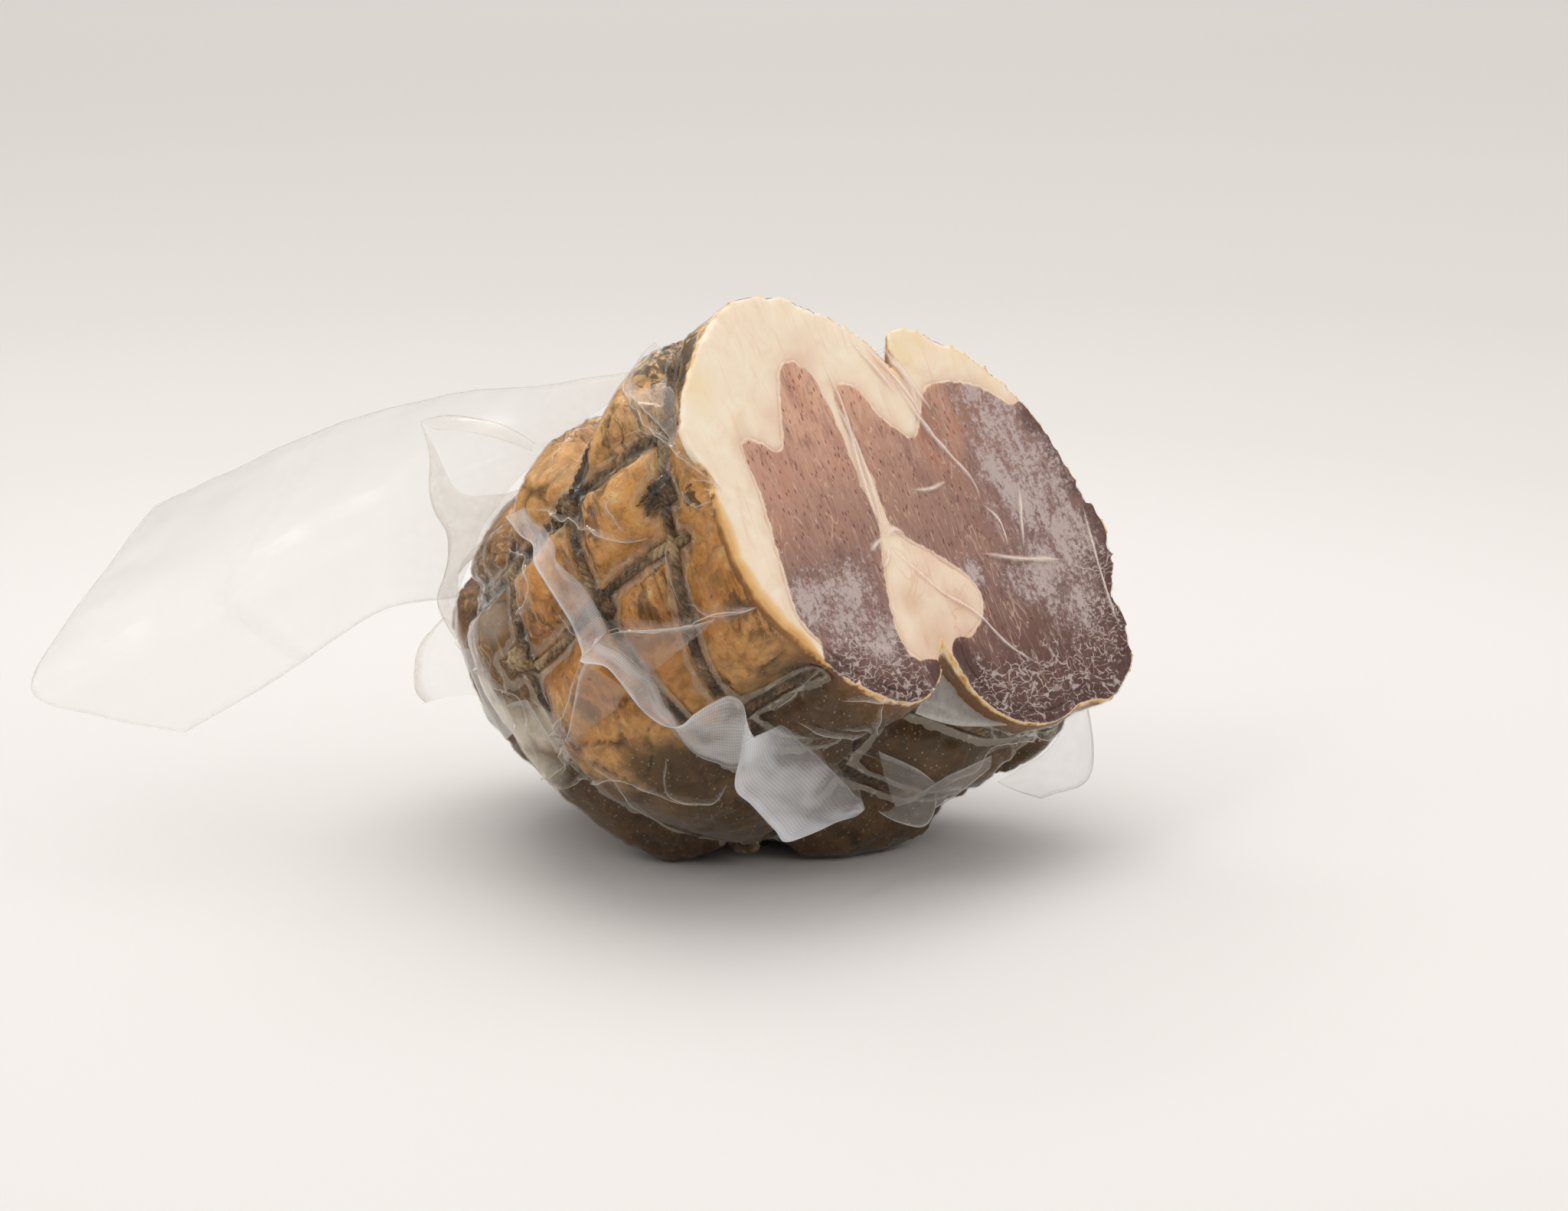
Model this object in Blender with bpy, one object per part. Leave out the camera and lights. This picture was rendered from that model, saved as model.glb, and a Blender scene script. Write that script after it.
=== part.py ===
"""Half a culatello in its clear vacuum bag: a cured, rind-on pork haunch cut across and sealed in film.

Sizes are in millimetres and become metres where a mesh is made. Places on the meat are given in the
frame of the cut face: H runs to the right along the face, V runs up it, and the depth is measured
straight back from it. The object stands on Z = 0, under the middle of its outer box.
"""
import math

import bmesh
import bpy
import numpy as np
from mathutils import Matrix, Vector
from mathutils.bvhtree import BVHTree

MM = 0.001
GAP = 0.3                     # clear distance between pieces that touch
TABLE_LEVEL = -2.5            # Z of the table in the working frame, which presses the belly flat

# How the cut face stands: its middle, the compass turn of its normal and how far it leans back
FACE_CENTRE = np.array([38.0, -39.0, 110.0])
FACE_TURN = math.radians(-40.6)
FACE_LEAN = math.radians(29.6)

# The dome of meat behind the cut face
DOME_DEPTH = 172.0            # from the cut face to the tied end
HALF_WIDTH = 84.0             # of the rounded sections behind the cut
HALF_HEIGHT = 77.0
TIED_END = (-14.0, 12.0)      # H and V of the tied end
BELLY_SHIFT = (-13.0, -16.0)  # how far the middle sections sag off the straight line
BELLY_BULGE = 0.06            # extra girth of the sections before the middle
DOME_POWER = 2.3              # how blunt the tied end is
COLUMNS = 88                  # faces round the meat
ROWS = 26                     # faces from the cut to the tied end
ROW_CROWDING = 1.15           # how the rows crowd together towards the cut
RELAX_PER_MM = 0.6            # how fast the notches of the cut die away behind it
LUMP_HEIGHT = 1.6             # unevenness of the rind
LUMP_REACH = 14.0             # how far from the twine the lumps reach their height
CUT_EASING = 10.0             # depth over which the lumps and the pinch of the twine set in
SLUMP_MIDDLE = (-20.0, -36.0) # X and Y of the spot where the meat slumps down on the table
SLUMP_DROP = 16.0
SLUMP_REACH = 46.0
SLUMP_HEIGHT = 60.0           # the slump dies away this far up

# The outline of the cut through rind, fat and casing, with two notches where the meat is folded
CUT_OUTLINE = [
    (-52, 76), (-34, 83), (-11, 80), (4, 71), (16, 61), (25, 48), (26, 46), (24, 57), (31, 64),
    (49, 57), (69, 42), (83, 20), (87, 4), (93, -15), (90, -31), (83, -39), (85, -52), (78, -64),
    (64, -72), (48, -70), (30, -73), (9, -66), (-1, -53), (-6, -36), (-12, -48), (-27, -53),
    (-45, -45), (-62, -29), (-75, -13), (-80, 6), (-78, 22), (-74, 30), (-81, 42), (-76, 54), (-64, 66),
]
LEFT_MUSCLE = [
    (-57, 39), (-49, 38), (-41, 33), (-35, 44), (-28, 58), (-20, 60), (-15, 53), (-13, 40), (-13, 16),
    (-12, 4), (-17, -9), (-22, -24), (-22, -36), (-16, -42), (-16, -45), (-27, -48), (-42, -41),
    (-55, -28), (-62, -16), (-60, 2), (-57, 22),
]
RIGHT_MUSCLE = [
    (-7, 49), (3, 47), (8, 37), (19, 27), (25, 32), (34, 42), (46, 42), (62, 37), (76, 24), (84, 10),
    (82, 2), (88, -13), (85, -28), (78, -39), (80, -53), (74, -61), (62, -67), (47, -65), (32, -68),
    (13, -62), (5, -52), (2, -41), (9, -38), (18, -33), (20, -23), (10, -12), (-1, -4), (-6, 3),
    (-6, 18), (-8, 36),
]
MUSCLE_STEP = 5.0             # spacing of points round a muscle's outline
MUSCLE_DEPTH = 0.70           # share of the dome's depth that a muscle runs through
MUSCLE_ROWS = 5
MUSCLE_DRAW_IN = 0.17         # how much a muscle narrows just behind the cut, under the casing
MUSCLE_DRAW_DEPTH = 9.0       # depth by which it has done so
MUSCLE_BLUNTNESS = 3.0        # how square its inner end is
MUSCLE_CONVERGENCE = 0.25     # how much the two run together towards the tied end
MUSCLE_TIP = 2.0              # length of the cap that closes the inner end

# The twine. Each ring: its depth as a share of the dome's, the swing of its front part away from the
# cut, where round the meat that swing is, and how wide
TWINE_RADIUS = 1.5
TWINE_SIDES = 6
TWINE_SINK = 5.5              # how deep the twine pinches the meat
TWINE_REACH = 7.0             # how far to each side the pinch is felt
PINCH_AT_CUT = 0.35           # share of the pinch that is left right at the cut
TWINE_STEP = 10.5             # spacing of the points along the twine
TWINE_ROOM = 5.5              # height that the belly keeps over the floor where twine crosses it
TIE_SWAY = 0.008              # how far a lengthwise tie sways to either side
RAY_START = 20.0              # height over the smooth dome from which the rind is looked for
RINGS = [
    (0.075, 0.12, 0.765, 0.100),
    (0.270, 0.03, 0.930, 0.060),
    (0.510, 0.07, 0.790, 0.060),
    (0.760, 0.00, 0.500, 0.100),
]
# Each lengthwise tie: its place round the meat, and the shares of depth where it starts and ends
TIES = [
    (0.945, 0.030, 0.760), (0.877, 0.075, 0.505), (0.771, 0.025, 0.275), (0.655, 0.120, 0.755),
    (0.530, 0.085, 0.510), (0.400, 0.080, 0.755), (0.270, 0.075, 0.505), (0.130, 0.080, 0.755),
]
KNOT_RADIUS = 3.6
# Each knot: its place round the meat and its share of depth
KNOTS = [(0.877, 0.090), (0.877, 0.272), (0.945, 0.298), (0.655, 0.508), (0.877, 0.520), (0.130, 0.270)]

# The bag's free film, given enough body here to be solid
FILM_THICKNESS = 1.0
# Its mouth lies out to the left; the four edges of that flap in X, Y and Z
MOUTH_ROOT = [(-40, -18, 158), (-62, -14, 139), (-82, -8, 121), (-97, -6, 102), (-105, -8, 80)]
MOUTH_TOP = [(-40, -18, 158), (-72, 2, 147), (-112, 34, 138), (-160, 60, 118), (-217, 80, 89)]
MOUTH_RIM = [(-217, 80, 89), (-228, 22, 74), (-238, -35, 57), (-214, -42, 50), (-188, -45, 45)]
MOUTH_FOOT = [(-105, -8, 80), (-125, -20, 79), (-141, -25, 71), (-161, -35, 60), (-188, -45, 45)]
MOUTH_CELLS = 10
# The ruffled weld that crosses the front: inner and outer edge, from the neck to the lower right
WELD_INNER = [
    (-86, -41, 116), (-79, -64, 109), (-70, -77, 98), (-62, -83, 80), (-52, -87, 70), (-42, -88, 61),
    (-31, -88, 56), (-17, -86, 50), (-13, -75, 37), (-6, -58, 21), (2, -52, 11), (13, -52, 15),
    (24, -54, 20), (28, -62, 38),
]
WELD_OUTER = [
    (-78, -58, 120), (-70, -71, 115), (-62, -82, 104), (-53, -90, 91), (-44, -96, 84), (-34, -97, 70),
    (-24, -98, 68), (-14, -100, 71), (-4, -98, 60), (8, -86, 46), (15, -74, 37), (21, -66, 31),
    (27, -64, 32), (32, -67, 50),
]
# The small folded corner at the lower right: its upper and its lower edge
CORNER_EDGES = ([(38, -63, 52), (58, -58, 53)], [(32, -53, 23), (45, -51, 16), (51, -49, 28)])
# The weld's run round the right and the back, as places round the meat and shares of its depth
BACK_WELD = [
    (0.560, 0.16), (0.510, 0.15), (0.450, 0.17), (0.390, 0.22), (0.320, 0.31), (0.250, 0.40), (0.180, 0.50),
]
BACK_WELD_LIFT = 2.0          # its root stands this high over the smooth dome
BACK_WELD_WIDTH = 13.0
BACK_WELD_RUFFLE = 2.5
WELD_POINTS = 30              # along the front weld
BACK_WELD_POINTS = 36
CORNER_POINTS = 6


def face_axes():
    """The cut face's outward normal, its rightward and its upward direction."""
    normal = np.array([
        math.cos(FACE_LEAN) * math.cos(FACE_TURN),
        math.cos(FACE_LEAN) * math.sin(FACE_TURN),
        math.sin(FACE_LEAN),
    ])
    right = np.array([-math.sin(FACE_TURN), math.cos(FACE_TURN), 0.0])
    return normal, right, np.cross(normal, right)


NORMAL, RIGHT, UP = face_axes()


def to_world(flat, depth):
    """Points given by H and V on the cut face, set back by a depth."""
    flat = np.asarray(flat, dtype=float)
    return FACE_CENTRE + flat[..., :1] * RIGHT + flat[..., 1:2] * UP - depth * NORMAL


def spline(points, count, closed):
    """Evenly spaced points on a smooth curve through the given ones."""
    points = np.asarray(points, dtype=float)
    total = len(points)
    spans = total if closed else total - 1
    dense = []
    for i in range(spans):
        if closed:
            p0, p1, p2, p3 = points[i - 1], points[i], points[(i + 1) % total], points[(i + 2) % total]
        else:
            p0, p1 = points[max(i - 1, 0)], points[i]
            p2, p3 = points[i + 1], points[min(i + 2, total - 1)]
        for t in np.linspace(0.0, 1.0, 12, endpoint=False):
            dense.append(0.5 * (2 * p1 + (p2 - p0) * t + (2 * p0 - 5 * p1 + 4 * p2 - p3) * t ** 2
                                + (3 * p1 - p0 - 3 * p2 + p3) * t ** 3))
    dense.append(points[0] if closed else points[-1])
    dense = np.array(dense)
    run = np.concatenate([[0.0], np.cumsum(np.linalg.norm(np.diff(dense, axis=0), axis=1))])
    stops = np.linspace(0.0, run[-1], count, endpoint=not closed)
    return np.stack([np.interp(stops, run, dense[:, axis]) for axis in range(dense.shape[1])], axis=-1)


def relax(outline, passes):
    """A closed outline with its corners and notches eased."""
    for _ in range(passes):
        outline = 0.5 * outline + 0.25 * (np.roll(outline, 1, axis=0) + np.roll(outline, -1, axis=0))
    return outline


def depth_share(row):
    """How deep a row of the dome lies: the rows crowd together at the cut and at the tied end."""
    return math.sin((row / ROWS) ** ROW_CROWDING * math.pi / 2)


def section_scale(share):
    """The girth of the dome at a share of its depth, against the cut's."""
    bulge = BELLY_BULGE * math.sin(math.pi * min(1, share / 0.75))
    return math.sqrt(max(0.0, 1 - share ** DOME_POWER)) * (1 + bulge)


def section_centre(share, cut_centre):
    """H and V of the middle of a section."""
    straight = cut_centre + (np.array(TIED_END) - cut_centre) * share ** 1.3
    return straight + np.array(BELLY_SHIFT) * math.sin(math.pi * share)


def smooth_dome():
    """Rows of points over the meat before the twine pinches it, from the cut to the tied end."""
    outline = spline(CUT_OUTLINE, COLUMNS, True)
    cut_centre = (outline.min(axis=0) + outline.max(axis=0)) / 2
    outline = outline - cut_centre
    half = np.array([HALF_WIDTH, HALF_HEIGHT])
    rows = []
    for row in range(ROWS):
        share = depth_share(row)
        if row:
            step = DOME_DEPTH * (share - depth_share(row - 1))
            outline = relax(outline, round(RELAX_PER_MM * step))
            low, high = outline.min(axis=0), outline.max(axis=0)
            outline = (outline - (low + high) / 2) * (2 * half / (high - low))
        flat = section_centre(share, cut_centre) + section_scale(share) * outline
        rows.append(to_world(flat, DOME_DEPTH * share))
    return np.array(rows), cut_centre


def outward(rows):
    """Unit normals of the dome at each of its points."""
    along = np.gradient(rows, axis=0)
    around = np.roll(rows, -1, axis=1) - np.roll(rows, 1, axis=1)
    normals = np.cross(around, along)
    normals /= np.linalg.norm(normals, axis=-1, keepdims=True)
    middle = rows.mean(axis=(0, 1))
    if ((rows - middle) * normals).sum() < 0:
        normals = -normals
    return normals


def on_dome(grid, place, share):
    """A value read off the dome's rows at a place round it and a share of its depth."""
    row = (math.asin(min(max(share, 0.0), 1.0)) / (math.pi / 2)) ** (1 / ROW_CROWDING) * ROWS
    row = min(row, ROWS - 1.001)
    column = (place % 1.0) * COLUMNS
    i, k = int(row), int(column)
    a, b = row - i, column - k
    k2 = (k + 1) % COLUMNS
    return (grid[i, k] * (1 - a) * (1 - b) + grid[i, k2] * (1 - a) * b
            + grid[i + 1, k] * a * (1 - b) + grid[i + 1, k2] * a * b)


def ring_share(ring, place):
    """The depth of a ring of twine at a place round the meat."""
    share, swing, middle, width = ring
    off = (place - middle + 0.5) % 1.0 - 0.5
    return share + swing * math.exp(-(off / width) ** 2)


def twine_routes():
    """Each run of twine as places and shares of depth, and whether it closes on itself."""
    routes = []
    for ring in RINGS:
        places = np.linspace(0.0, 1.0, 160, endpoint=False)
        routes.append(([(place, ring_share(ring, place)) for place in places], True))
    for place, start, end in TIES:
        shares = np.linspace(start, end, 40)
        routes.append(([(place + TIE_SWAY * math.sin(9 * share), share) for share in shares], False))
    return routes


def even_route(rows, route, step, closed):
    """A route over the meat as places and shares of depth that are about one step apart."""
    if closed:
        route = route + [(route[0][0] + 1.0, route[0][1])]
    points = np.array([on_dome(rows, place, share) for place, share in route])
    run = np.concatenate([[0.0], np.cumsum(np.linalg.norm(np.diff(points, axis=0), axis=1))])
    stops = np.linspace(0.0, run[-1], max(3, round(run[-1] / step)), endpoint=not closed)
    route = np.array(route)
    return np.stack([np.interp(stops, run, route[:, 0]), np.interp(stops, run, route[:, 1])], axis=-1)


def slump(point):
    """How far a point of the meat sinks where it slumps on the table."""
    off = point[:2] - np.array(SLUMP_MIDDLE)
    near = math.exp(-(off @ off) / SLUMP_REACH ** 2)
    return SLUMP_DROP * near * max(0.0, 1 - point[2] / SLUMP_HEIGHT)


def pinched_dome(rows, normals):
    """The dome drawn in under the twine, with the rind's uneven lumps between."""
    twine = []
    for route, closed in twine_routes():
        twine += [on_dome(rows, place, share) for place, share in even_route(rows, route, 2.0, closed)]
    twine = np.array(twine)
    shape = rows.copy()
    for row in range(1, ROWS):
        share = depth_share(row)
        set_in = min(1.0, DOME_DEPTH * share / CUT_EASING)
        for column in range(COLUMNS):
            point = rows[row, column]
            distance = np.sqrt(((twine - point) ** 2).sum(axis=1).min())
            turn = 2 * math.pi * column / COLUMNS
            lump = math.sin(3 * turn + 9 * share) + 0.7 * math.sin(5 * turn - 14 * share + 1.3)
            swell = LUMP_HEIGHT * lump * (1 - math.exp(-(distance / LUMP_REACH) ** 2)) * set_in
            pinch = TWINE_SINK * math.exp(-(distance / TWINE_REACH) ** 2)
            pinch *= PINCH_AT_CUT + (1 - PINCH_AT_CUT) * set_in
            shape[row, column] = point + normals[row, column] * (swell - pinch)
            shape[row, column, 2] -= slump(shape[row, column])
            room = TABLE_LEVEL + TWINE_ROOM * (1 - (distance / (1.3 * TWINE_REACH)) ** 2)
            shape[row, column, 2] = max(shape[row, column, 2], room)
    return shape


def muscle_rings(outline, cut_centre):
    """Rings of a muscle from the cut inwards, each drawn in towards the muscle's own middle."""
    length = np.linalg.norm(np.diff(np.array(outline + outline[:1], dtype=float), axis=0), axis=1).sum()
    flat = spline(outline, round(length / MUSCLE_STEP), True)
    middle = flat.mean(axis=0)
    rings = []
    for row in range(MUSCLE_ROWS + 1):
        share = MUSCLE_DEPTH * (row / MUSCLE_ROWS) ** 1.5
        depth = DOME_DEPTH * share
        own = MUSCLE_DRAW_IN * min(1.0, depth / MUSCLE_DRAW_DEPTH)
        blunt = (1 - (row / (MUSCLE_ROWS + 0.6)) ** MUSCLE_BLUNTNESS) ** (1 / MUSCLE_BLUNTNESS)
        scale = section_scale(share)
        centre = section_centre(share, cut_centre)
        new_middle = centre + (middle - cut_centre) * scale * (1 - MUSCLE_CONVERGENCE * share)
        eased = relax(flat, row) - middle
        rings.append(to_world(new_middle + eased * (1 - own) * scale * blunt, depth))
    return np.array(rings)


def object_from(bm, name, colour, roughness):
    """A named object with its own material, with its normals facing out."""
    bmesh.ops.recalc_face_normals(bm, faces=bm.faces)
    mesh = bpy.data.meshes.new(name)
    bm.to_mesh(mesh)
    bm.free()
    mesh.transform(Matrix.Scale(MM, 4))
    piece = bpy.data.objects.new(name, mesh)
    bpy.context.scene.collection.objects.link(piece)
    material = bpy.data.materials.new(name)
    material.use_nodes = True
    shader = material.node_tree.nodes["Principled BSDF"]
    shader.inputs["Base Color"].default_value = (*colour, 1.0)
    shader.inputs["Roughness"].default_value = roughness
    mesh.materials.append(material)
    mesh.shade_smooth()
    mesh.set_sharp_from_angle(angle=math.radians(50))
    return piece


def ring_vertices(bm, ring):
    """The vertices of one closed ring."""
    return [bm.verts.new(Vector(point)) for point in ring]


def skin_rings(bm, rings):
    """Quads between successive rings of equal count; returns the rings' vertices."""
    loops = [ring_vertices(bm, ring) for ring in rings]
    for near, far in zip(loops, loops[1:]):
        for k in range(len(near)):
            k2 = (k + 1) % len(near)
            bm.faces.new((near[k], near[k2], far[k2], far[k]))
    return loops


def close_with_point(bm, loop, point):
    """A fan of triangles from a ring to a point."""
    tip = bm.verts.new(Vector(point))
    for k in range(len(loop)):
        bm.faces.new((loop[k], loop[(k + 1) % len(loop)], tip))


def ring_edges(loop):
    """The edges round a ring of vertices."""
    pairs = zip(loop, loop[1:] + loop[:1])
    return [next(edge for edge in a.link_edges if edge.other_vert(a) is b) for a, b in pairs]


def inner_point(rings, back_off):
    """The blunt inner end of a muscle or its hollow."""
    return rings[-1].mean(axis=0) - NORMAL * (MUSCLE_TIP - back_off)


def slimmed(rings, amount):
    """A muscle's rings drawn in all round, in the plane of each ring, for the gap to the fat."""
    slim = []
    for ring in rings:
        tangent = np.roll(ring, -1, axis=0) - np.roll(ring, 1, axis=0)
        inward = np.cross(tangent, NORMAL)
        inward /= np.linalg.norm(inward, axis=1, keepdims=True)
        turn = np.cross(ring - ring.mean(axis=0), np.roll(ring, -1, axis=0) - ring.mean(axis=0)).sum(axis=0)
        sign = -1.0 if turn @ NORMAL > 0 else 1.0
        slim.append(ring + sign * inward * amount)
    return slim


def fat_and_rind(shape, hollows):
    """The rind, fat and casing: the dome with a hollow for each muscle, flat under the belly."""
    bm = bmesh.new()
    loops = skin_rings(bm, shape)
    close_with_point(bm, loops[-1], to_world(np.array(TIED_END), DOME_DEPTH))
    rim = ring_edges(loops[0])
    for rings in hollows:
        inner = skin_rings(bm, rings)
        close_with_point(bm, inner[-1], inner_point(rings, 0.0))
        rim += ring_edges(inner[0])
    bmesh.ops.triangle_fill(bm, use_beauty=True, use_dissolve=False, edges=rim)
    bmesh.ops.bisect_plane(
        bm, geom=bm.verts[:] + bm.edges[:] + bm.faces[:], dist=0.01,
        plane_co=(0, 0, TABLE_LEVEL), plane_no=(0, 0, -1), clear_outer=True,
    )
    rest_rim = [edge for edge in bm.edges if edge.is_boundary]
    bmesh.ops.triangle_fill(bm, use_beauty=True, use_dissolve=False, edges=rest_rim)
    bmesh.ops.remove_doubles(bm, verts=bm.verts, dist=0.02)
    bmesh.ops.recalc_face_normals(bm, faces=bm.faces)
    return bm


def muscle(rings):
    """One muscle, flush with the cut."""
    bm = bmesh.new()
    slim = slimmed(rings, GAP * 1.4)
    loops = skin_rings(bm, slim)
    close_with_point(bm, loops[-1], inner_point(rings, 2 * GAP))
    bmesh.ops.triangle_fill(bm, use_beauty=True, use_dissolve=False, edges=ring_edges(loops[0]))
    return bm


def clear_of(points, trees, clearance, closed=False, rounds=60):
    """Points pushed off the solids until they and the spots halfway between keep the clearance."""
    points = np.array(points, dtype=float)
    count = len(points)
    for _ in range(rounds):
        moved = 0.0
        for i in range(count):
            for k in ([i] if i == count - 1 and not closed else [i, i + 1]):
                spot = points[i] if k == i else 0.5 * (points[i] + points[(i + 1) % count])
                for tree in trees:
                    place, facing, _, distance = tree.find_nearest(Vector(spot))
                    place, facing = np.array(place), np.array(facing)
                    off = spot - place
                    inside = off @ facing < 0
                    short = clearance + distance if inside else clearance - distance
                    if short > 1e-3:
                        way = facing if inside or distance < 1e-6 else off / distance
                        points[i] += way * short
                        if k != i:
                            points[(i + 1) % count] += way * short
                        moved = max(moved, short)
        if moved == 0.0:
            break
    return points


def over_rind(rows, normals, tree, spot, height):
    """A point at a height over the rind, for a place round the meat and a share of its depth."""
    point = on_dome(rows, *spot)
    facing = on_dome(normals, *spot)
    facing = facing / np.linalg.norm(facing)
    hit = tree.ray_cast(Vector(point + facing * RAY_START), Vector(-facing))[0]
    return (point if hit is None else np.array(hit)) + facing * height


def tube_mesh(points, closed):
    """A round tube through the points, with filled ends where it is open."""
    curve = bpy.data.curves.new("twine_run", "CURVE")
    curve.dimensions = "3D"
    curve.bevel_depth = TWINE_RADIUS
    curve.bevel_resolution = (TWINE_SIDES - 4) // 2
    curve.use_fill_caps = True
    line = curve.splines.new("POLY")
    line.points.add(len(points) - 1)
    for spot, point in zip(line.points, points):
        spot.co = (*point, 1.0)
    line.use_cyclic_u = closed
    holder = bpy.data.objects.new("twine_run", curve)
    bpy.context.scene.collection.objects.link(holder)
    bpy.context.view_layer.update()
    mesh = bpy.data.meshes.new_from_object(holder.evaluated_get(bpy.context.evaluated_depsgraph_get()))
    bpy.data.objects.remove(holder)
    bpy.data.curves.remove(curve)
    return mesh


def knot_mesh(place):
    """One small round knot."""
    bm = bmesh.new()
    bmesh.ops.create_icosphere(bm, subdivisions=1, radius=KNOT_RADIUS)
    bmesh.ops.translate(bm, verts=bm.verts, vec=Vector(place))
    mesh = bpy.data.meshes.new("knot")
    bm.to_mesh(mesh)
    bm.free()
    return mesh


def united(meshes):
    """One closed body from overlapping ones."""
    group = bpy.data.collections.new("twine_runs")
    bpy.context.scene.collection.children.link(group)
    pieces = []
    for i, mesh in enumerate(meshes):
        piece = bpy.data.objects.new(f"run_{i}", mesh)
        pieces.append(piece)
        if i:
            group.objects.link(piece)
        else:
            bpy.context.scene.collection.objects.link(piece)
    join = pieces[0].modifiers.new("join", "BOOLEAN")
    join.operation = "UNION"
    join.operand_type = "COLLECTION"
    join.solver = "EXACT"
    join.collection = group
    bpy.context.view_layer.update()
    bm = bmesh.new()
    bm.from_object(pieces[0], bpy.context.evaluated_depsgraph_get())
    for piece in pieces:
        bpy.data.objects.remove(piece)
    bpy.data.collections.remove(group)
    bmesh.ops.remove_doubles(bm, verts=bm.verts, dist=0.01)
    return bm


def lay_twine(rows, normals, tree):
    """The rings, the lengthwise ties and the knots as one body, laid on the meat."""
    meshes = []
    for route, closed in twine_routes():
        spots = even_route(rows, route, TWINE_STEP, closed)
        laid = [over_rind(rows, normals, tree, spot, TWINE_RADIUS + GAP) for spot in spots]
        meshes.append(tube_mesh(clear_of(laid, [tree], TWINE_RADIUS + 1.3 * GAP, closed), closed))
    for spot in KNOTS:
        place = over_rind(rows, normals, tree, spot, KNOT_RADIUS + GAP)
        meshes.append(knot_mesh(clear_of([place], [tree], KNOT_RADIUS + GAP)[0]))
    return united(meshes)


def sheet_from(rows):
    """A flat mesh through rows of points, all with the same count."""
    bm = bmesh.new()
    grid = [[bm.verts.new(Vector(point)) for point in row] for row in rows]
    for near, far in zip(grid, grid[1:]):
        for k in range(len(near) - 1):
            bm.faces.new((near[k], near[k + 1], far[k + 1], far[k]))
    return bm


def patch(left, right, bottom, top, across, along):
    """Rows of points over a patch that hangs from its four edges."""
    left, right = spline(left, along, False), spline(right, along, False)
    bottom, top = spline(bottom, across, False), spline(top, across, False)
    rows = []
    for j, v in enumerate(np.linspace(0.0, 1.0, along)):
        row = []
        for i, u in enumerate(np.linspace(0.0, 1.0, across)):
            edges = (1 - u) * left[j] + u * right[j] + (1 - v) * bottom[i] + v * top[i]
            corners = ((1 - u) * (1 - v) * bottom[0] + u * (1 - v) * bottom[-1]
                       + (1 - u) * v * top[0] + u * v * top[-1])
            row.append(edges - corners)
        rows.append(row)
    return np.array(rows)


def film_object(rows, trees, name):
    """A sheet of the bag's film, kept off the meat and the twine and given its thickness."""
    count = rows.shape[1]
    flat = clear_of(rows.reshape(-1, 3), trees, FILM_THICKNESS / 2 + GAP + 0.3)
    piece = object_from(sheet_from(flat.reshape(-1, count, 3)), name, (0.82, 0.83, 0.84), 0.2)
    wall = piece.modifiers.new("wall", "SOLIDIFY")
    wall.thickness = FILM_THICKNESS * MM
    wall.offset = 0.0
    return piece


def stand_over_origin(pieces):
    """Shifts every piece so that the middle of the whole's outer box is over the origin, on Z = 0."""
    bpy.context.view_layer.update()
    corners = []
    for piece in pieces:
        corners += [piece.matrix_world @ Vector(corner) for corner in piece.bound_box]
    for piece in pieces:
        piece.location.z = -TABLE_LEVEL * MM
    for axis in (0, 1):
        values = [corner[axis] for corner in corners]
        middle = (min(values) + max(values)) / 2
        for piece in pieces:
            piece.location[axis] -= middle


def strip_between(upper, lower, count):
    """Rows of three points across a strip between its two edges."""
    upper, lower = spline(upper, count, False), spline(lower, count, False)
    return np.array([upper, 0.5 * (upper + lower), lower]).transpose(1, 0, 2)


def back_weld(rows, normals):
    """Rows of three points across the ruffled weld that runs round the right and the back."""
    strip = []
    for i, spot in enumerate(spline(BACK_WELD, BACK_WELD_POINTS, False)):
        point, facing = on_dome(rows, *spot), on_dome(normals, *spot)
        facing = facing / np.linalg.norm(facing)
        lean = UP * BACK_WELD_RUFFLE * math.sin(1.1 * i)
        strip.append([point + facing * (BACK_WELD_LIFT + BACK_WELD_WIDTH * reach) + lean * reach
                      for reach in (0.0, 0.5, 1.0)])
    return np.array(strip)


def build():
    for thing in list(bpy.data.objects):
        bpy.data.objects.remove(thing)
    rows, cut_centre = smooth_dome()
    normals = outward(rows)
    hollows = [muscle_rings(outline, cut_centre) for outline in (LEFT_MUSCLE, RIGHT_MUSCLE)]
    body = fat_and_rind(pinched_dome(rows, normals), hollows)
    body_tree = BVHTree.FromBMesh(body)
    twine = lay_twine(rows, normals, body_tree)
    trees = [body_tree, BVHTree.FromBMesh(twine)]
    mouth = patch(MOUTH_ROOT, MOUTH_RIM, MOUTH_TOP, MOUTH_FOOT, MOUTH_CELLS + 1, MOUTH_CELLS + 1)
    pieces = [
        object_from(body, "fat_and_rind", (0.62, 0.42, 0.20), 0.45),
        object_from(muscle(hollows[0]), "muscle_left", (0.36, 0.16, 0.14), 0.4),
        object_from(muscle(hollows[1]), "muscle_right", (0.33, 0.14, 0.13), 0.4),
        object_from(twine, "twine_net", (0.16, 0.14, 0.11), 0.8),
        film_object(mouth, trees, "bag_mouth"),
        film_object(strip_between(WELD_INNER, WELD_OUTER, WELD_POINTS), trees, "bag_front_weld"),
        film_object(strip_between(*CORNER_EDGES, CORNER_POINTS), trees, "bag_corner"),
        film_object(back_weld(rows, normals), trees, "bag_back_weld"),
    ]
    stand_over_origin(pieces)


build()
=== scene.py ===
"""The looks of half a culatello: cured meat with rind and twine, vacuum packed in a clear bag.

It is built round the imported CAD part, in the order in which the real thing is put together: the meat,
its twine, the film that clings to it, and the bag's free flaps and welds.
"""
import math

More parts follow.
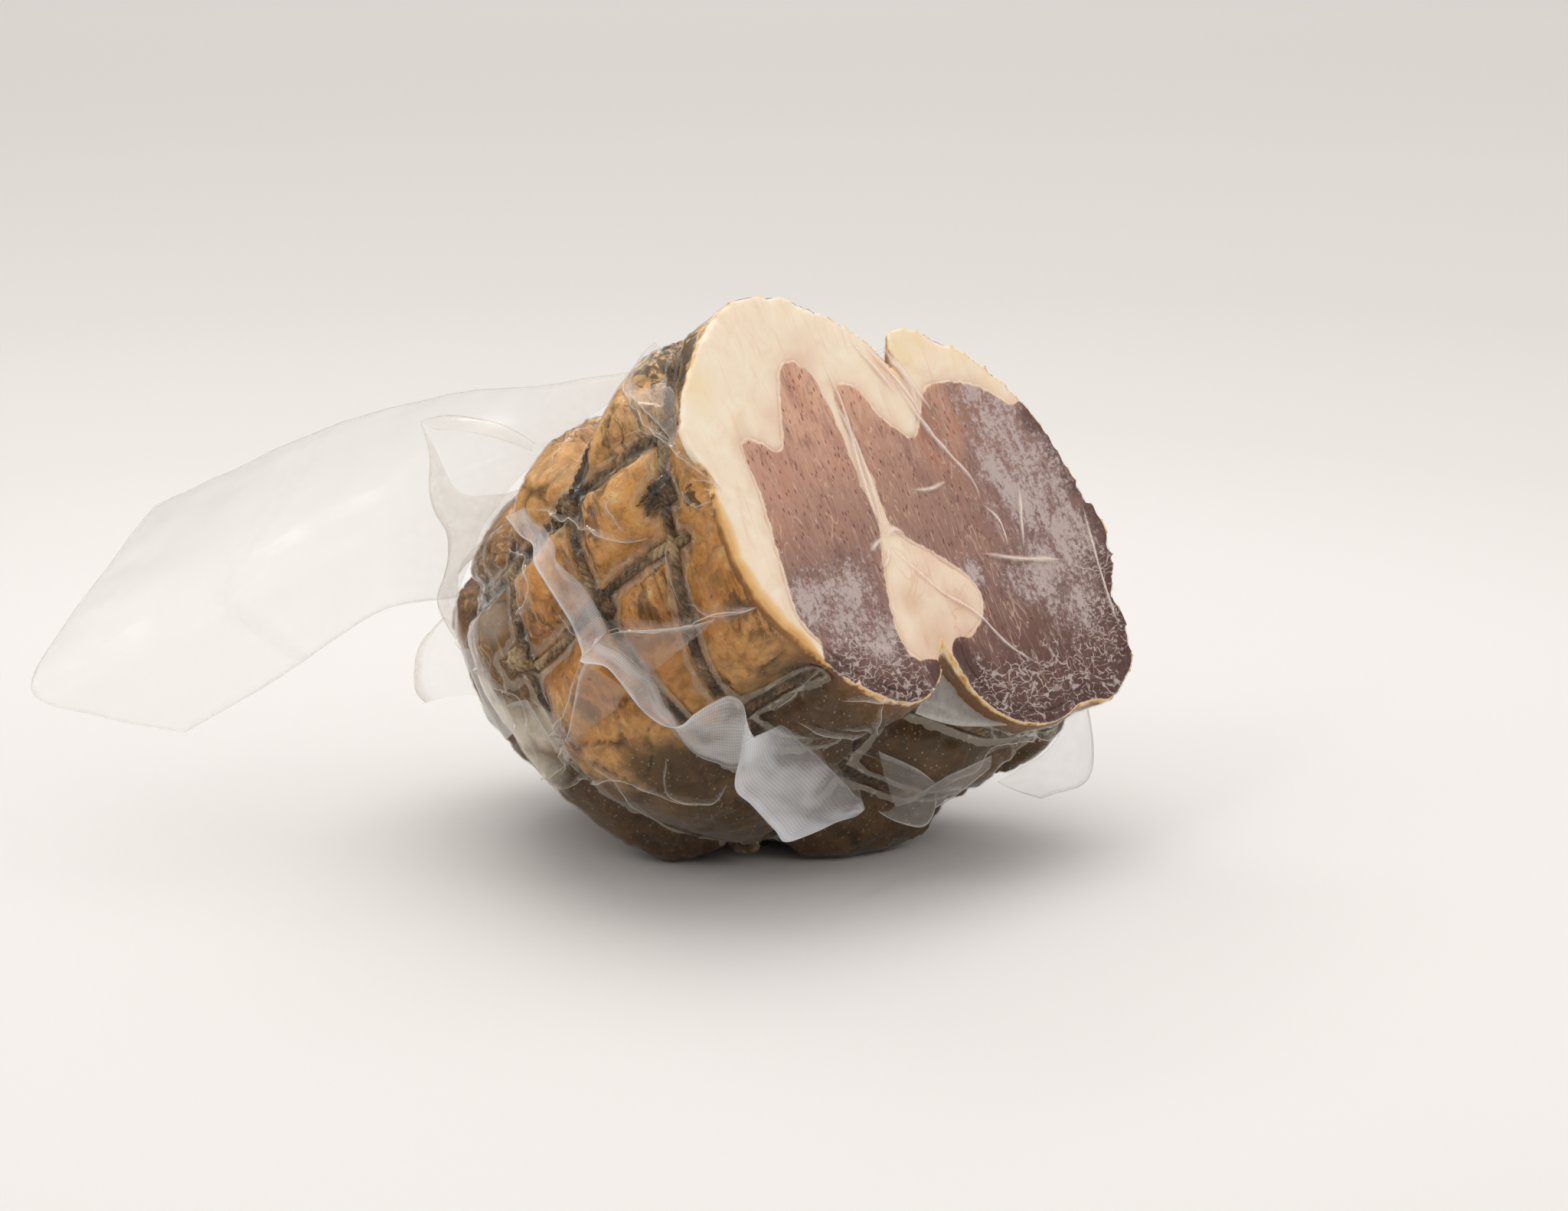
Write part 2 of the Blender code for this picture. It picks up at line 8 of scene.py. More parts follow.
import bmesh
import bpy
import numpy as np
from mathutils import Matrix, Vector, noise
from mathutils.bvhtree import BVHTree
from mathutils.kdtree import KDTree


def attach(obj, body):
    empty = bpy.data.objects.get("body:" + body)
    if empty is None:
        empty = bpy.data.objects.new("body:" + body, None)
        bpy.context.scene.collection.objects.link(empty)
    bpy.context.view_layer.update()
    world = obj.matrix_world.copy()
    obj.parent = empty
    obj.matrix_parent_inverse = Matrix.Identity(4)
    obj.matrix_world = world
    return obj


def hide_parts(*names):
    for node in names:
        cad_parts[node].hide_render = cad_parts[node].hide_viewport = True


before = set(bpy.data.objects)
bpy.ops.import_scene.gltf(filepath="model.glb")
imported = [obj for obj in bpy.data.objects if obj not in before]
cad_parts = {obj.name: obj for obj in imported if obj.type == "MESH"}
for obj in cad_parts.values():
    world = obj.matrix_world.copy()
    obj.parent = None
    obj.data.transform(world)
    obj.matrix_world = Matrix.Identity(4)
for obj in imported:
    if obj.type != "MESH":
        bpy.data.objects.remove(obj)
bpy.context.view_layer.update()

# ---- Camera and studio ----
# A pale table top whose colour is painted darker a little way off and lighter far away, a painted light
# and shade that stands in for the lamps' falloff; one large soft light over it and two soft lights at
# its sides. The camera looks a little down on the cut side.
MM = 0.001


def linear(red, green, blue):
    """A colour as seen on screen, 0 to 255, as the linear values that shaders take."""
    return tuple((c / 12.92 if c <= 0.04045 else ((c + 0.055) / 1.055) ** 2.4)
                 for c in (red / 255, green / 255, blue / 255)) + (1.0,)


def node(tree, kind, inputs=None, **settings):
    """A shader node; an input given as a socket is linked, and any other is set."""
    made = tree.nodes.new("ShaderNode" + kind)
    for name, value in settings.items():
        setattr(made, name, value)
    for name, value in (inputs or {}).items():
        if isinstance(value, bpy.types.NodeSocket):
            tree.links.new(value, made.inputs[name])
        else:
            made.inputs[name].default_value = value
    return made


def ramp(tree, value, stops):
    """Colours along a value, as a list of place and colour; a single number stands for a grey."""
    made = node(tree, "ValToRGB", {"Fac": value})
    band = made.color_ramp
    while len(band.elements) < len(stops):
        band.elements.new(0.5)
    for element, (place, colour) in zip(band.elements, stops):
        element.position = place
        element.color = (colour, colour, colour, 1.0) if isinstance(colour, (int, float)) else linear(*colour)
    return made.outputs["Color"]


def new_material(name, **uniform):
    """A material with its Principled shader, whose given inputs are the same all over."""
    made = bpy.data.materials.new(name)
    made.use_nodes = True
    shader = made.node_tree.nodes["Principled BSDF"]
    for key, value in uniform.items():
        shader.inputs[key.replace("_", " ")].default_value = value
    return made, made.node_tree, shader


camera_data = bpy.data.cameras.new("camera")
camera_data.lens = 85
camera_data.sensor_width = 36
camera = bpy.data.objects.new("camera", camera_data)
camera.location = (0.061686, -1.146294, 0.387044)
camera.rotation_euler = (math.radians(75), 0, 0)
bpy.context.scene.collection.objects.link(camera)
bpy.context.scene.camera = camera

TABLE_SIZE = 14.0
bm = bmesh.new()
bmesh.ops.create_circle(bm, cap_ends=True, segments=96, radius=TABLE_SIZE / 2)
table_mesh = bpy.data.meshes.new("table_top")
bm.to_mesh(table_mesh)
bm.free()
table = bpy.data.objects.new("table_top", table_mesh)
bpy.context.scene.collection.objects.link(table)
material, tree, shader = new_material("pale_table", Roughness=0.75, Specular_IOR_Level=0.25)
place = node(tree, "TexCoord").outputs["Object"]
off_centre = node(tree, "Mapping", {"Vector": place, "Location": (-0.06, -0.05, 0.0)}).outputs["Vector"]
distance = node(tree, "VectorMath", {0: off_centre}, operation="LENGTH").outputs["Value"]
# Painted light and shade: the table's colour changes with distance from the object to follow the lamps' falloff.
painted_falloff = node(tree, "MapRange", {"Value": distance, "From Min": 0.0, "From Max": 3.0}).outputs["Result"]
colour = ramp(tree, painted_falloff, [
    (0.00, (220, 217, 215)), (0.12, (219, 216, 214)), (0.20, (213, 210, 207)), (0.32, (214, 210, 207)),
    (0.53, (229, 225, 221)), (0.86, (240, 236, 232)),
])
tree.links.new(colour, shader.inputs["Base Color"])
table_mesh.materials.append(material)

# Name, place, aimed at, size, watts, colour
SOFT_LIGHTS = [
    ("top", (0.10, 0.35, 1.50), (0.06, 0.0, 0.05), (1.8, 1.4), 12.3, (255, 252, 248)),
    ("far", (0.0, 2.50, 1.60), (0.0, 2.50, 0.0), (2.5, 1.5), 3.0, (255, 253, 250)),
    ("left", (-1.40, -0.50, 0.80), (0.0, 0.0, 0.08), (0.9, 1.0), 2.8, (255, 254, 252)),
    ("right", (1.50, -0.60, 0.90), (0.1, 0.0, 0.10), (0.9, 1.0), 5.4, (255, 254, 252)),
    ("left_strip", (-0.75, -0.80, 1.10), (0.0, 0.0, 0.10), (0.12, 0.50), 1.6, (255, 254, 252)),
    ("back_strip", (-0.45, 0.75, 0.95), (0.0, 0.0, 0.10), (0.60, 0.12), 1.6, (255, 254, 252)),
]
for name, spot, aim, size, watts, tint in SOFT_LIGHTS:
    light = bpy.data.lights.new(name, "AREA")
    light.shape = "RECTANGLE"
    light.size, light.size_y = size
    light.energy = watts
    light.color = linear(*tint)[:3]
    lamp = bpy.data.objects.new(name, light)
    lamp.location = spot
    lamp.rotation_euler = (Vector(spot) - Vector(aim)).to_track_quat("Z", "Y").to_euler()
    bpy.context.scene.collection.objects.link(lamp)

world = bpy.data.worlds.new("studio")
world.use_nodes = True
tree = world.node_tree
way = node(tree, "TexCoord").outputs["Generated"]
upward = node(tree, "SeparateXYZ", {"Vector": way}).outputs["Z"]
sky = ramp(tree, upward, [(0.0, (96, 95, 94)), (0.28, (122, 120, 118)), (0.58, (246, 244, 241)), (1.0, (255, 254, 252))])
tree.links.new(sky, tree.nodes["Background"].inputs["Color"])
tree.nodes["Background"].inputs["Strength"].default_value = 0.88
bpy.context.scene.world = world
bpy.context.scene.view_settings.view_transform = "Standard"
bpy.context.scene.cycles.transparent_max_bounces = 24
bpy.context.scene.cycles.max_bounces = 8

# ---- Fat and rind ----
# The fat and the thick rind round the lean, cut straight across. Its form is the CAD solid's with an
# even net of small faces; folds, pits and grain are moved into that net.
FACE_CENTRE = Vector((99.9883, -28.8393, 112.5)) * MM
FACE_TURN = math.radians(-40.6)
FACE_LEAN = math.radians(29.6)
RIND_NET = 1.52               # mm, the faces of the fat and rind
face_turn = (Matrix.Rotation(FACE_TURN, 4, "Z") @ Matrix.Rotation(-FACE_LEAN, 4, "Y")
             @ Matrix.Rotation(math.radians(90), 4, "Y") @ Matrix.Rotation(math.radians(90), 4, "Z"))
from_face = Matrix.Translation(FACE_CENTRE) @ face_turn @ Matrix.Scale(MM, 4)
to_face = from_face.inverted()


def seen_from_cut(name):
    """A CAD node as a bmesh in millimetres, with X to the right of the cut, Y up it and Z out of it."""
    solid = bmesh.new()
    solid.from_mesh(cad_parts[name].data)
    bmesh.ops.remove_doubles(solid, verts=solid.verts, dist=1e-6)
    solid.transform(to_face)
    bmesh.ops.recalc_face_normals(solid, faces=solid.faces)
    return solid


def evaluated(solid, kind, **settings):
    """A bmesh after one modifier."""
    mesh = bpy.data.meshes.new("working")
    solid.to_mesh(mesh)
    solid.free()
    holder = bpy.data.objects.new("working", mesh)
    bpy.context.scene.collection.objects.link(holder)
    modifier = holder.modifiers.new("working", kind)
    for name, value in settings.items():
        setattr(modifier, name, value)
    made = bmesh.new()
    made.from_object(holder, bpy.context.evaluated_depsgraph_get())
    bpy.data.objects.remove(holder)
    bpy.data.meshes.remove(mesh)
    return made


def piece_from(solid, name, material, slot, *replaced):
    """A finished piece of the object in the part's own frame, which stands for some CAD nodes."""
    solid.transform(from_face)
    mesh = bpy.data.meshes.new(name)
    solid.to_mesh(mesh)
    solid.free()
    mesh.shade_smooth()
    mesh.materials.append(material)
    made = bpy.data.objects.new(name, mesh)
    bpy.context.scene.collection.objects.link(made)
    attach(made, "root")
    if replaced:
        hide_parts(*replaced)
    return made


def nearest(points):
    """A search tree over points."""
    tree = KDTree(len(points))
    for i, point in enumerate(points):
        tree.insert(point, i)
    tree.balance()
    return tree


def cut_edges(solid):
    """Points every half millimetre along the sharp edges where a solid meets the cut."""
    points = []
    for edge in solid.edges:
        ends = [vert.co for vert in edge.verts]
        if max(abs(end.z) for end in ends) > 0.05:
            continue
        if sum(face.normal.z > 0.99 for face in edge.link_faces) != 1:
            continue
        count = max(1, round((ends[1] - ends[0]).length / 0.5))
        points += [ends[0].lerp(ends[1], i / count) for i in range(count)]
    return points


fat_solid = seen_from_cut("fat_and_rind")
lean_solids = {name: seen_from_cut(name) for name in ("muscle_left", "muscle_right")}
lean_edges = [point for solid in lean_solids.values() for point in cut_edges(solid)]
lean_edge = nearest(lean_edges)
lean_trees = [BVHTree.FromBMesh(solid) for solid in lean_solids.values()]
rim = nearest([point for point in cut_edges(fat_solid) if lean_edge.find(point)[2] > 1.2])
twine_solid = seen_from_cut("twine_net")
twine_tree = BVHTree.FromBMesh(twine_solid)


def lean_depth(point):
    """Millimetres from a point of the cut to the edge of the lean, above zero inside the lean."""
    on_cut = Vector((point.x, point.y, 0.0))
    distance = lean_edge.find(on_cut)[2]
    start = on_cut - Vector((0, 0, 1.0))
    inside = any(tree.ray_cast(start, Vector((0, 0, 1.0)), 1.5)[0] is not None for tree in lean_trees)
    return distance if inside else -distance


def mark(solid, name, value_at):
    """Stores a number at each vertex for the material to read."""
    layer = solid.verts.layers.float.get(name) or solid.verts.layers.float.new(name)
    for vert in solid.verts:
        vert[layer] = value_at(vert)


def cut_swell(point):
    """How far the cut stands up or sinks, in millimetres: fat stands, lean sinks a little."""
    soft = max(-1.0, min(1.0, lean_depth(point) / 5.0))
    return 0.35 * noise.noise(Vector((point.x, point.y, 0)) / 17.0) - 0.25 * soft


def wander(point, reach, size):
    """A point moved about softly, so that a pattern read there runs in wavy lines."""
    return point + reach * noise.noise_vector(point / size)


def folded(point):
    """Where the rind is wrinkled, from 0 to 1."""
    return min(1.0, max(0.0, 2.6 * noise.noise(point / 23.0 + Vector((5.0, 1.0, 2.0))) + 0.45))


def long_fold(point):
    """The height of the long fibrous folds of the rind, about -1 to 1, and none where it is smooth."""
    spot = wander(point, 12.0, 34.0)
    return folded(point) * noise.fractal(Vector((spot.x / 4.5, spot.y / 24.0, spot.z / 6.0)), 0.9, 2.0, 3)


def crease(point):
    """How deep a narrow crease of the rind is here, from 0 to 1."""
    spot = wander(point, 5.0, 11.0)
    near = abs(noise.noise(spot / 19.0 + Vector((3.1, 0.0, 7.7))))
    return max(0.0, 1.0 - near / 0.06) * min(1.0, max(0.0, 2.0 * noise.noise(point / 26.0) + 0.2))


SHOULDER = Vector((-52, 74, -12))     # where the rind stands up behind the rim


def rind_relief(point, twine_distance):
    """How far the rind stands out, in millimetres: cushions between the twine, folds, creases, grain."""
    loose = 1.0 - math.exp(-(twine_distance / 8.5) ** 2)
    groove = -2.6 * math.exp(-(twine_distance / 4.2) ** 2)
    cushion = 1.8 * (1.0 - math.exp(-(twine_distance / 13.0) ** 2)) - 0.7
    cushion += 5.0 * math.exp(-((point - SHOULDER).length / 13.0) ** 2)
    cushion -= 2.4 * min(1.0, max(0.0, (-110.0 - point.z) / 40.0))
    lumps = 1.2 * noise.fractal(point / 18.0, 1.0, 2.0, 3)
    gathered = abs(noise.noise(Vector((point.x / 4.0, point.y / 4.0, point.z / 13.0))))
    gather = -1.0 * max(0.0, 1.0 - gathered / 0.16) * (1.0 - loose)
    grain = 0.20 * noise.fractal(point / 2.8, 0.8, 2.1, 3)
    spot = wander(point, 3.0, 12.0)
    grain -= 0.9 * folded(point) * max(0.0, 0.25 - abs(noise.noise(Vector((spot.x / 3.6, spot.y / 15.0, spot.z / 4.6))))) / 0.25
    return groove + cushion + lumps * loose + 1.3 * long_fold(point) - 1.4 * crease(point) + gather + grain


fat = evaluated(fat_solid.copy(), "REMESH", mode="VOXEL", voxel_size=RIND_NET)
fat.normal_update()
moves = []
for vert in fat.verts:
    point = vert.co
    if point.z > -0.9:
        moves.append(Vector((0, 0, cut_swell(point))))
        continue
    hidden = any(tree.find_nearest(point)[3] < 2.0 for tree in lean_trees)
    if hidden:
        moves.append(Vector())
        continue
    near = twine_tree.find_nearest(point)[3]
    set_in = min(1.0, (-0.9 - point.z) / 6.0)
    moves.append(vert.normal * rind_relief(point, near) * set_in)
for vert, move in zip(fat.verts, moves):
    vert.co += move
mark(fat, "twine", lambda vert: twine_tree.find_nearest(vert.co)[3])
mark(fat, "rim", lambda vert: rim.find(Vector((vert.co.x, vert.co.y, 0.0)))[2])
mark(fat, "lean", lambda vert: lean_depth(vert.co))
mark(fat, "fold", lambda vert: long_fold(vert.co))
mark(fat, "folded", lambda vert: folded(vert.co))
mark(fat, "crease", lambda vert: crease(vert.co))


def face_place(tree):
    """Millimetres seen from the cut, for a material: X right, Y up, Z out."""
    spot = node(tree, "TexCoord").outputs["Object"]
    turned = node(tree, "Mapping", {
        "Vector": spot, "Location": FACE_CENTRE, "Rotation": face_turn.to_euler(), "Scale": (MM, MM, MM),
    }, vector_type="TEXTURE")
    return turned.outputs["Vector"]


def cloud(tree, place, size, detail=3.0, roughness=0.55, warp=0.0):
    """Soft noise with patches of about a size in millimetres, from 0 to 1."""
    return node(tree, "TexNoise", {
        "Vector": place, "Scale": 1.0 / size, "Detail": detail, "Roughness": roughness, "Distortion": warp,
    }).outputs["Fac"]


def calc(tree, operation, a, b=0.0, c=0.0):
    """One step of arithmetic in a material."""
    made = node(tree, "Math", {0: a, 1: b}, operation=operation)
    if operation in ("MULTIPLY_ADD", "SMOOTH_MIN"):
        if isinstance(c, bpy.types.NodeSocket):
            tree.links.new(c, made.inputs[2])
        else:
            made.inputs[2].default_value = c
    return made.outputs["Value"]


def step(tree, value, low, high):
    """0 below low, 1 above high and smooth between, or the other way round if low is the higher."""
    return node(tree, "MapRange", {
        "Value": value, "From Min": low, "From Max": high,
    }, interpolation_type="SMOOTHSTEP").outputs["Result"]


def mixed(tree, share, first, second):
    """A colour between two, by a share from 0 to 1."""
    made = node(tree, "Mix", data_type="RGBA")
    for socket, value in ((0, share), (6, first), (7, second)):
        if isinstance(value, bpy.types.NodeSocket):
            tree.links.new(value, made.inputs[socket])
        else:
            made.inputs[socket].default_value = linear(*value) if isinstance(value, tuple) else value
    return made.outputs[2]


def attribute(tree, name):
    """A number stored at the vertices."""
    return node(tree, "Attribute", attribute_name=name).outputs["Fac"]


def axis_of(tree, place, axis):
    """One axis of a place."""
    return node(tree, "SeparateXYZ", {"Vector": place}).outputs[axis]


def spot_mask(tree, place, spots):
    """1 in the middle of each given spot of the cut, falling to 0 at its radius."""
    total = None
    for x, y, radius in spots:
        off = node(tree, "VectorMath", {0: place, 1: (x, y, 0.0)}, operation="DISTANCE").outputs["Value"]
        one = step(tree, off, radius, 0.0)
        total = one if total is None else calc(tree, "MAXIMUM", total, one)
    return total


def streaks(tree, place, turn, scale, detail=4.0, warp=0.8):
    """Noise stretched over the cut: turned by an angle, with a scale per millimetre for each axis."""
    spot = node(tree, "Mapping", {"Vector": place, "Rotation": (0, 0, math.radians(turn)), "Scale": scale})
    return node(tree, "TexNoise", {
        "Vector": spot.outputs["Vector"], "Scale": 1.0, "Detail": detail, "Roughness": 0.65, "Distortion": warp,
    }).outputs["Fac"]


# Places on the cut, each with a radius: where the fat is honey yellow well in from the rind, where the
# fat is folded, where the lean reaches the casing, where it closes on the thin white seam, and where
# bloom and wrinkles have formed on it
HONEY = [(-82, 12, 18), (-82, -2, 20), (-77, -14, 20), (-70, -24, 16)]
YELLOWED = [(27, 55, 14), (40, 60, 14), (56, 54, 12), (68, 42, 10), (-66, 60, 12)]
PINK_FAT = [(0, -22, 24), (-8, -36, 14), (8, -38, 14), (2, -12, 16), (20, 48, 14), (-40, 44, 10), (-14, 62, 12)]
FOLDED_FAT = [(0, -14, 22), (6, -30, 22), (-6, -40, 14), (24, 52, 14)]
RUDDY_FAT = [(-6, -38, 17), (6, -42, 14), (10, -28, 9), (-12, -22, 9)]
LEAN_TO_CASING = [
    (-56, -38, 14), (-42, -48, 15), (-26, -52, 14), (-12, -47, 10), (4, -60, 12), (16, -69, 15), (32, -72, 16),
    (48, -70, 16), (64, -71, 15), (78, -63, 15), (85, -50, 14), (86, -38, 13), (90, -28, 14), (92, -14, 14),
    (88, 0, 12), (86, 12, 13), (80, 24, 12), (4, -50, 13), (1, -43, 9), (7, -57, 12),
]
SEAM = [(-14, 52, 9), (-12, 42, 9), (-11, 32, 9), (-10, 22, 9), (-9, 12, 9), (-9, 4, 8)]
BLOOM = [
    (56, 38, 22), (62, 26, 28), (68, 12, 28), (60, 0, 30), (74, 2, 22), (50, 12, 18), (72, -18, 28), (58, -26, 28),
    (66, -36, 24), (44, -26, 18), (-52, -14, 20), (-42, -22, 22), (-30, -30, 18), (-34, -12, 18), (22, -20, 10),
]
CRACKLED = [(10, -56, 16), (24, -58, 20), (44, -60, 22), (62, -58, 20), (76, -48, 18), (82, -28, 14), (-30, -44, 20), (-46, -36, 16)]


def fat_colour(tree, place):
    """The colour of cut fat: waxy cream, pinkish in streaks, honey yellow and brown next to the rind."""
    wax = cloud(tree, place, 14.0, 4.0, 0.6, 1.5)
    streak = streaks(tree, place, 38, (0.22, 0.045, 0.1))
    cream = ramp(tree, wax, [(0.30, (241, 221, 194)), (0.50, (247, 230, 206)), (0.72, (250, 237, 217))])
    pinkish = mixed(tree, calc(tree, "MULTIPLY", step(tree, streak, 0.52, 0.70), 0.40), cream, (236, 196, 170))
    by_lean = calc(tree, "MULTIPLY_ADD", cloud(tree, place, 9.0, 4.0, 0.6), 11.0, attribute(tree, "lean"))
    pinkish = mixed(tree, calc(tree, "MULTIPLY", step(tree, by_lean, -1.5, 6.5), 0.50), pinkish, (234, 194, 170))
    rosy = calc(tree, "MULTIPLY", spot_mask(tree, place, PINK_FAT), step(tree, wax, 0.30, 0.62))
    pinkish = mixed(tree, calc(tree, "MULTIPLY", rosy, 0.60), pinkish, (230, 190, 168))
    fold = calc(tree, "ABSOLUTE", calc(tree, "SUBTRACT", streaks(tree, place, 28, (0.07, 0.030, 0.1), 2.0, 1.2), 0.5))
    folds = calc(tree, "MULTIPLY", step(tree, fold, 0.022, 0.004), spot_mask(tree, place, FOLDED_FAT))
    pinkish = mixed(tree, calc(tree, "MULTIPLY", folds, 0.40), pinkish, (214, 160, 136))
    ruddy = calc(tree, "MULTIPLY", spot_mask(tree, place, RUDDY_FAT), 0.55)
    pinkish = mixed(tree, ruddy, pinkish, (216, 172, 142))
    yellowed = calc(tree, "MULTIPLY", spot_mask(tree, place, YELLOWED), 0.55)
    pinkish = mixed(tree, yellowed, pinkish, (243, 216, 166))
    edge = calc(tree, "ADD", attribute(tree, "rim"), calc(tree, "MULTIPLY_ADD", cloud(tree, place, 4.0), 2.4, -1.2))
    reach = calc(tree, "MULTIPLY_ADD", spot_mask(tree, place, HONEY), 10.5, 0.9)
    honey = ramp(tree, calc(tree, "DIVIDE", edge, reach), [
        (0.05, (142, 98, 52)), (0.16, (206, 152, 84)), (0.50, (233, 190, 126)), (1.00, (243, 218, 182)),
    ])
    return mixed(tree, step(tree, calc(tree, "DIVIDE", edge, reach), 1.3, 0.7), pinkish, honey)


def lean_colour(tree, place):
    """The colour of cured lean: salmon at the top of the cut, rose brown in the middle, maroon at the foot."""
    patch = cloud(tree, place, 20.0, 3.0)
    drop = calc(tree, "MULTIPLY_ADD", axis_of(tree, place, "Y"), -1.0, 45.0)
    drop = calc(tree, "MULTIPLY_ADD", axis_of(tree, place, "X"), 0.10, drop)
    drop = calc(tree, "MULTIPLY_ADD", patch, 30.0, drop)
    base = ramp(tree, calc(tree, "DIVIDE", drop, 140.0), [
        (0.08, (220, 173, 146)), (0.20, (196, 150, 129)), (0.38, (165, 127, 112)), (0.60, (150, 114, 103)),
        (0.74, (120, 88, 80)), (0.90, (92, 65, 58)),
    ])
    grain = streaks(tree, place, -24, (0.62, 0.19, 0.3))
    base = mixed(tree, calc(tree, "MULTIPLY", step(tree, grain, 0.48, 0.34), 0.40), base, (118, 72, 64))
    base = mixed(tree, calc(tree, "MULTIPLY", step(tree, grain, 0.56, 0.72), 0.35), base, (214, 176, 156))
    high = step(tree, axis_of(tree, place, "Y"), -4.0, 30.0)
    ruddy = calc(tree, "MULTIPLY", step(tree, streaks(tree, place, -30, (0.055, 0.03, 0.05)), 0.48, 0.64), high)
    base = mixed(tree, calc(tree, "MULTIPLY", ruddy, 0.55), base, (188, 128, 102))
    dusky = step(tree, streaks(tree, place, -36, (0.09, 0.04, 0.05), 6.0), 0.50, 0.62)
    base = mixed(tree, calc(tree, "MULTIPLY", dusky, 0.35), base, (128, 96, 92))
    sinew = calc(tree, "ABSOLUTE", calc(tree, "SUBTRACT", streaks(tree, place, -30, (0.14, 0.030, 0.1), 2.0, 1.4), 0.5))
    base = mixed(tree, calc(tree, "MULTIPLY", step(tree, sinew, 0.014, 0.003), 0.50), base, (222, 188, 166))
    pores = node(tree, "TexVoronoi", {
        "Vector": node(tree, "Mapping", {
            "Vector": place, "Rotation": (0, 0, math.radians(-22)), "Scale": (0.74, 0.30, 0.3),
        }).outputs["Vector"], "Scale": 1.0, "Randomness": 1.0,
    })
    some = step(tree, axis_of(tree, pores.outputs["Color"], "X"), 0.36, 0.42)
    dots = calc(tree, "MULTIPLY", step(tree, pores.outputs["Distance"], 0.28, 0.18), some)
    return mixed(tree, calc(tree, "MULTIPLY", dots, 0.75), base, (110, 52, 46))


def bloom_on_lean(tree, place, colour):
    """Grey bloom where the film has let go of the lean, in fine mottles, and pale wrinkled lines below."""
    region = spot_mask(tree, place, BLOOM)
    crackled = spot_mask(tree, place, CRACKLED)
    mottle = cloud(tree, place, 2.2, 14.0, 0.84, 0.3)
    broad = streaks(tree, place, -40, (0.13, 0.06, 0.08), 6.0, 0.5)
    amount = calc(tree, "MULTIPLY_ADD", broad, 0.55, calc(tree, "MULTIPLY", mottle, 1.15))
    amount = calc(tree, "MULTIPLY_ADD", region, 0.25, calc(tree, "MULTIPLY_ADD", crackled, -0.03, amount))
    dulled = mixed(tree, calc(tree, "MULTIPLY", step(tree, region, 0.05, 0.60), 0.50), colour, (112, 84, 80))
    dulled = mixed(tree, calc(tree, "MULTIPLY", crackled, 0.60), dulled, (92, 58, 54))
    bloomed = mixed(tree, calc(tree, "MULTIPLY", step(tree, amount, 0.92, 1.06), 0.40), dulled, (180, 160, 158))
    bloomed = mixed(tree, calc(tree, "MULTIPLY", step(tree, amount, 1.02, 1.09), 0.72), bloomed, (204, 188, 184))
    stray = node(tree, "TexNoise", {"Vector": place, "Scale": 0.16, "Detail": 4.0}).outputs["Color"]
    bent = node(tree, "VectorMath", {0: stray, 1: (9.0, 9.0, 0.0)}, operation="MULTIPLY").outputs["Vector"]
    bent = node(tree, "VectorMath", {0: place, 1: bent}).outputs["Vector"]
    spot = node(tree, "Mapping", {
        "Vector": bent, "Rotation": (0, 0, math.radians(18)), "Scale": (0.20, 0.52, 0.1),
    }).outputs["Vector"]
    cell = node(tree, "TexVoronoi", {"Vector": spot, "Scale": 1.0}, feature="DISTANCE_TO_EDGE")
    some = step(tree, calc(tree, "MULTIPLY_ADD", crackled, 0.30, cloud(tree, place, 5.0, 4.0, 0.6)), 0.54, 0.68)
    lines = calc(tree, "MULTIPLY", step(tree, cell.outputs["Distance"], 0.085, 0.025), some)
    lines = calc(tree, "MULTIPLY", lines, step(tree, cloud(tree, place, 2.4, 2.0), 0.34, 0.48))
    lines = calc(tree, "MULTIPLY", lines, step(tree, crackled, 0.05, 0.30))
    return mixed(tree, calc(tree, "MULTIPLY", lines, 0.66), bloomed, (210, 196, 190))


def cut_colour(tree, place):
    """Fat and lean over the whole cut, with an uneven border between them."""
    seam = spot_mask(tree, place, SEAM)
    ragged = calc(tree, "MULTIPLY_ADD", cloud(tree, place, 4.0, 5.0, 0.65), 2.8, -1.4)
    ragged = calc(tree, "MULTIPLY", ragged, calc(tree, "MULTIPLY_ADD", seam, -0.85, 1.0))
    border = calc(tree, "ADD", attribute(tree, "lean"), ragged)
    border = calc(tree, "MULTIPLY_ADD", spot_mask(tree, place, LEAN_TO_CASING), 11.0, border)
    border = calc(tree, "MULTIPLY_ADD", seam, 1.3, border)
    to_rim = calc(tree, "MULTIPLY_ADD", attribute(tree, "rim"), 2.2, -1.9)
    border = calc(tree, "MINIMUM", border, calc(tree, "ADD", to_rim, ragged))
    deep = step(tree, spot_mask(tree, place, LEAN_TO_CASING), 0.0, 0.75)
    lean = mixed(tree, calc(tree, "MULTIPLY", deep, 0.85), lean_colour(tree, place), (76, 46, 42))
    lean = bloom_on_lean(tree, place, lean)
    return mixed(tree, step(tree, border, -0.45, 0.45), fat_colour(tree, place), lean)


# Places round the rind, seen from the cut, each with a radius: black mould by the rim
MOULD = [
    (-59, 71, -4, 15), (-52, 76, -12, 14), (-64, 62, -4, 12), (-56, 70, -22, 14), (-46, 78, -24, 10), (-80, 28, -8, 8),
    (-70, 30, -120, 16), (-60, 0, -140, 16),
]


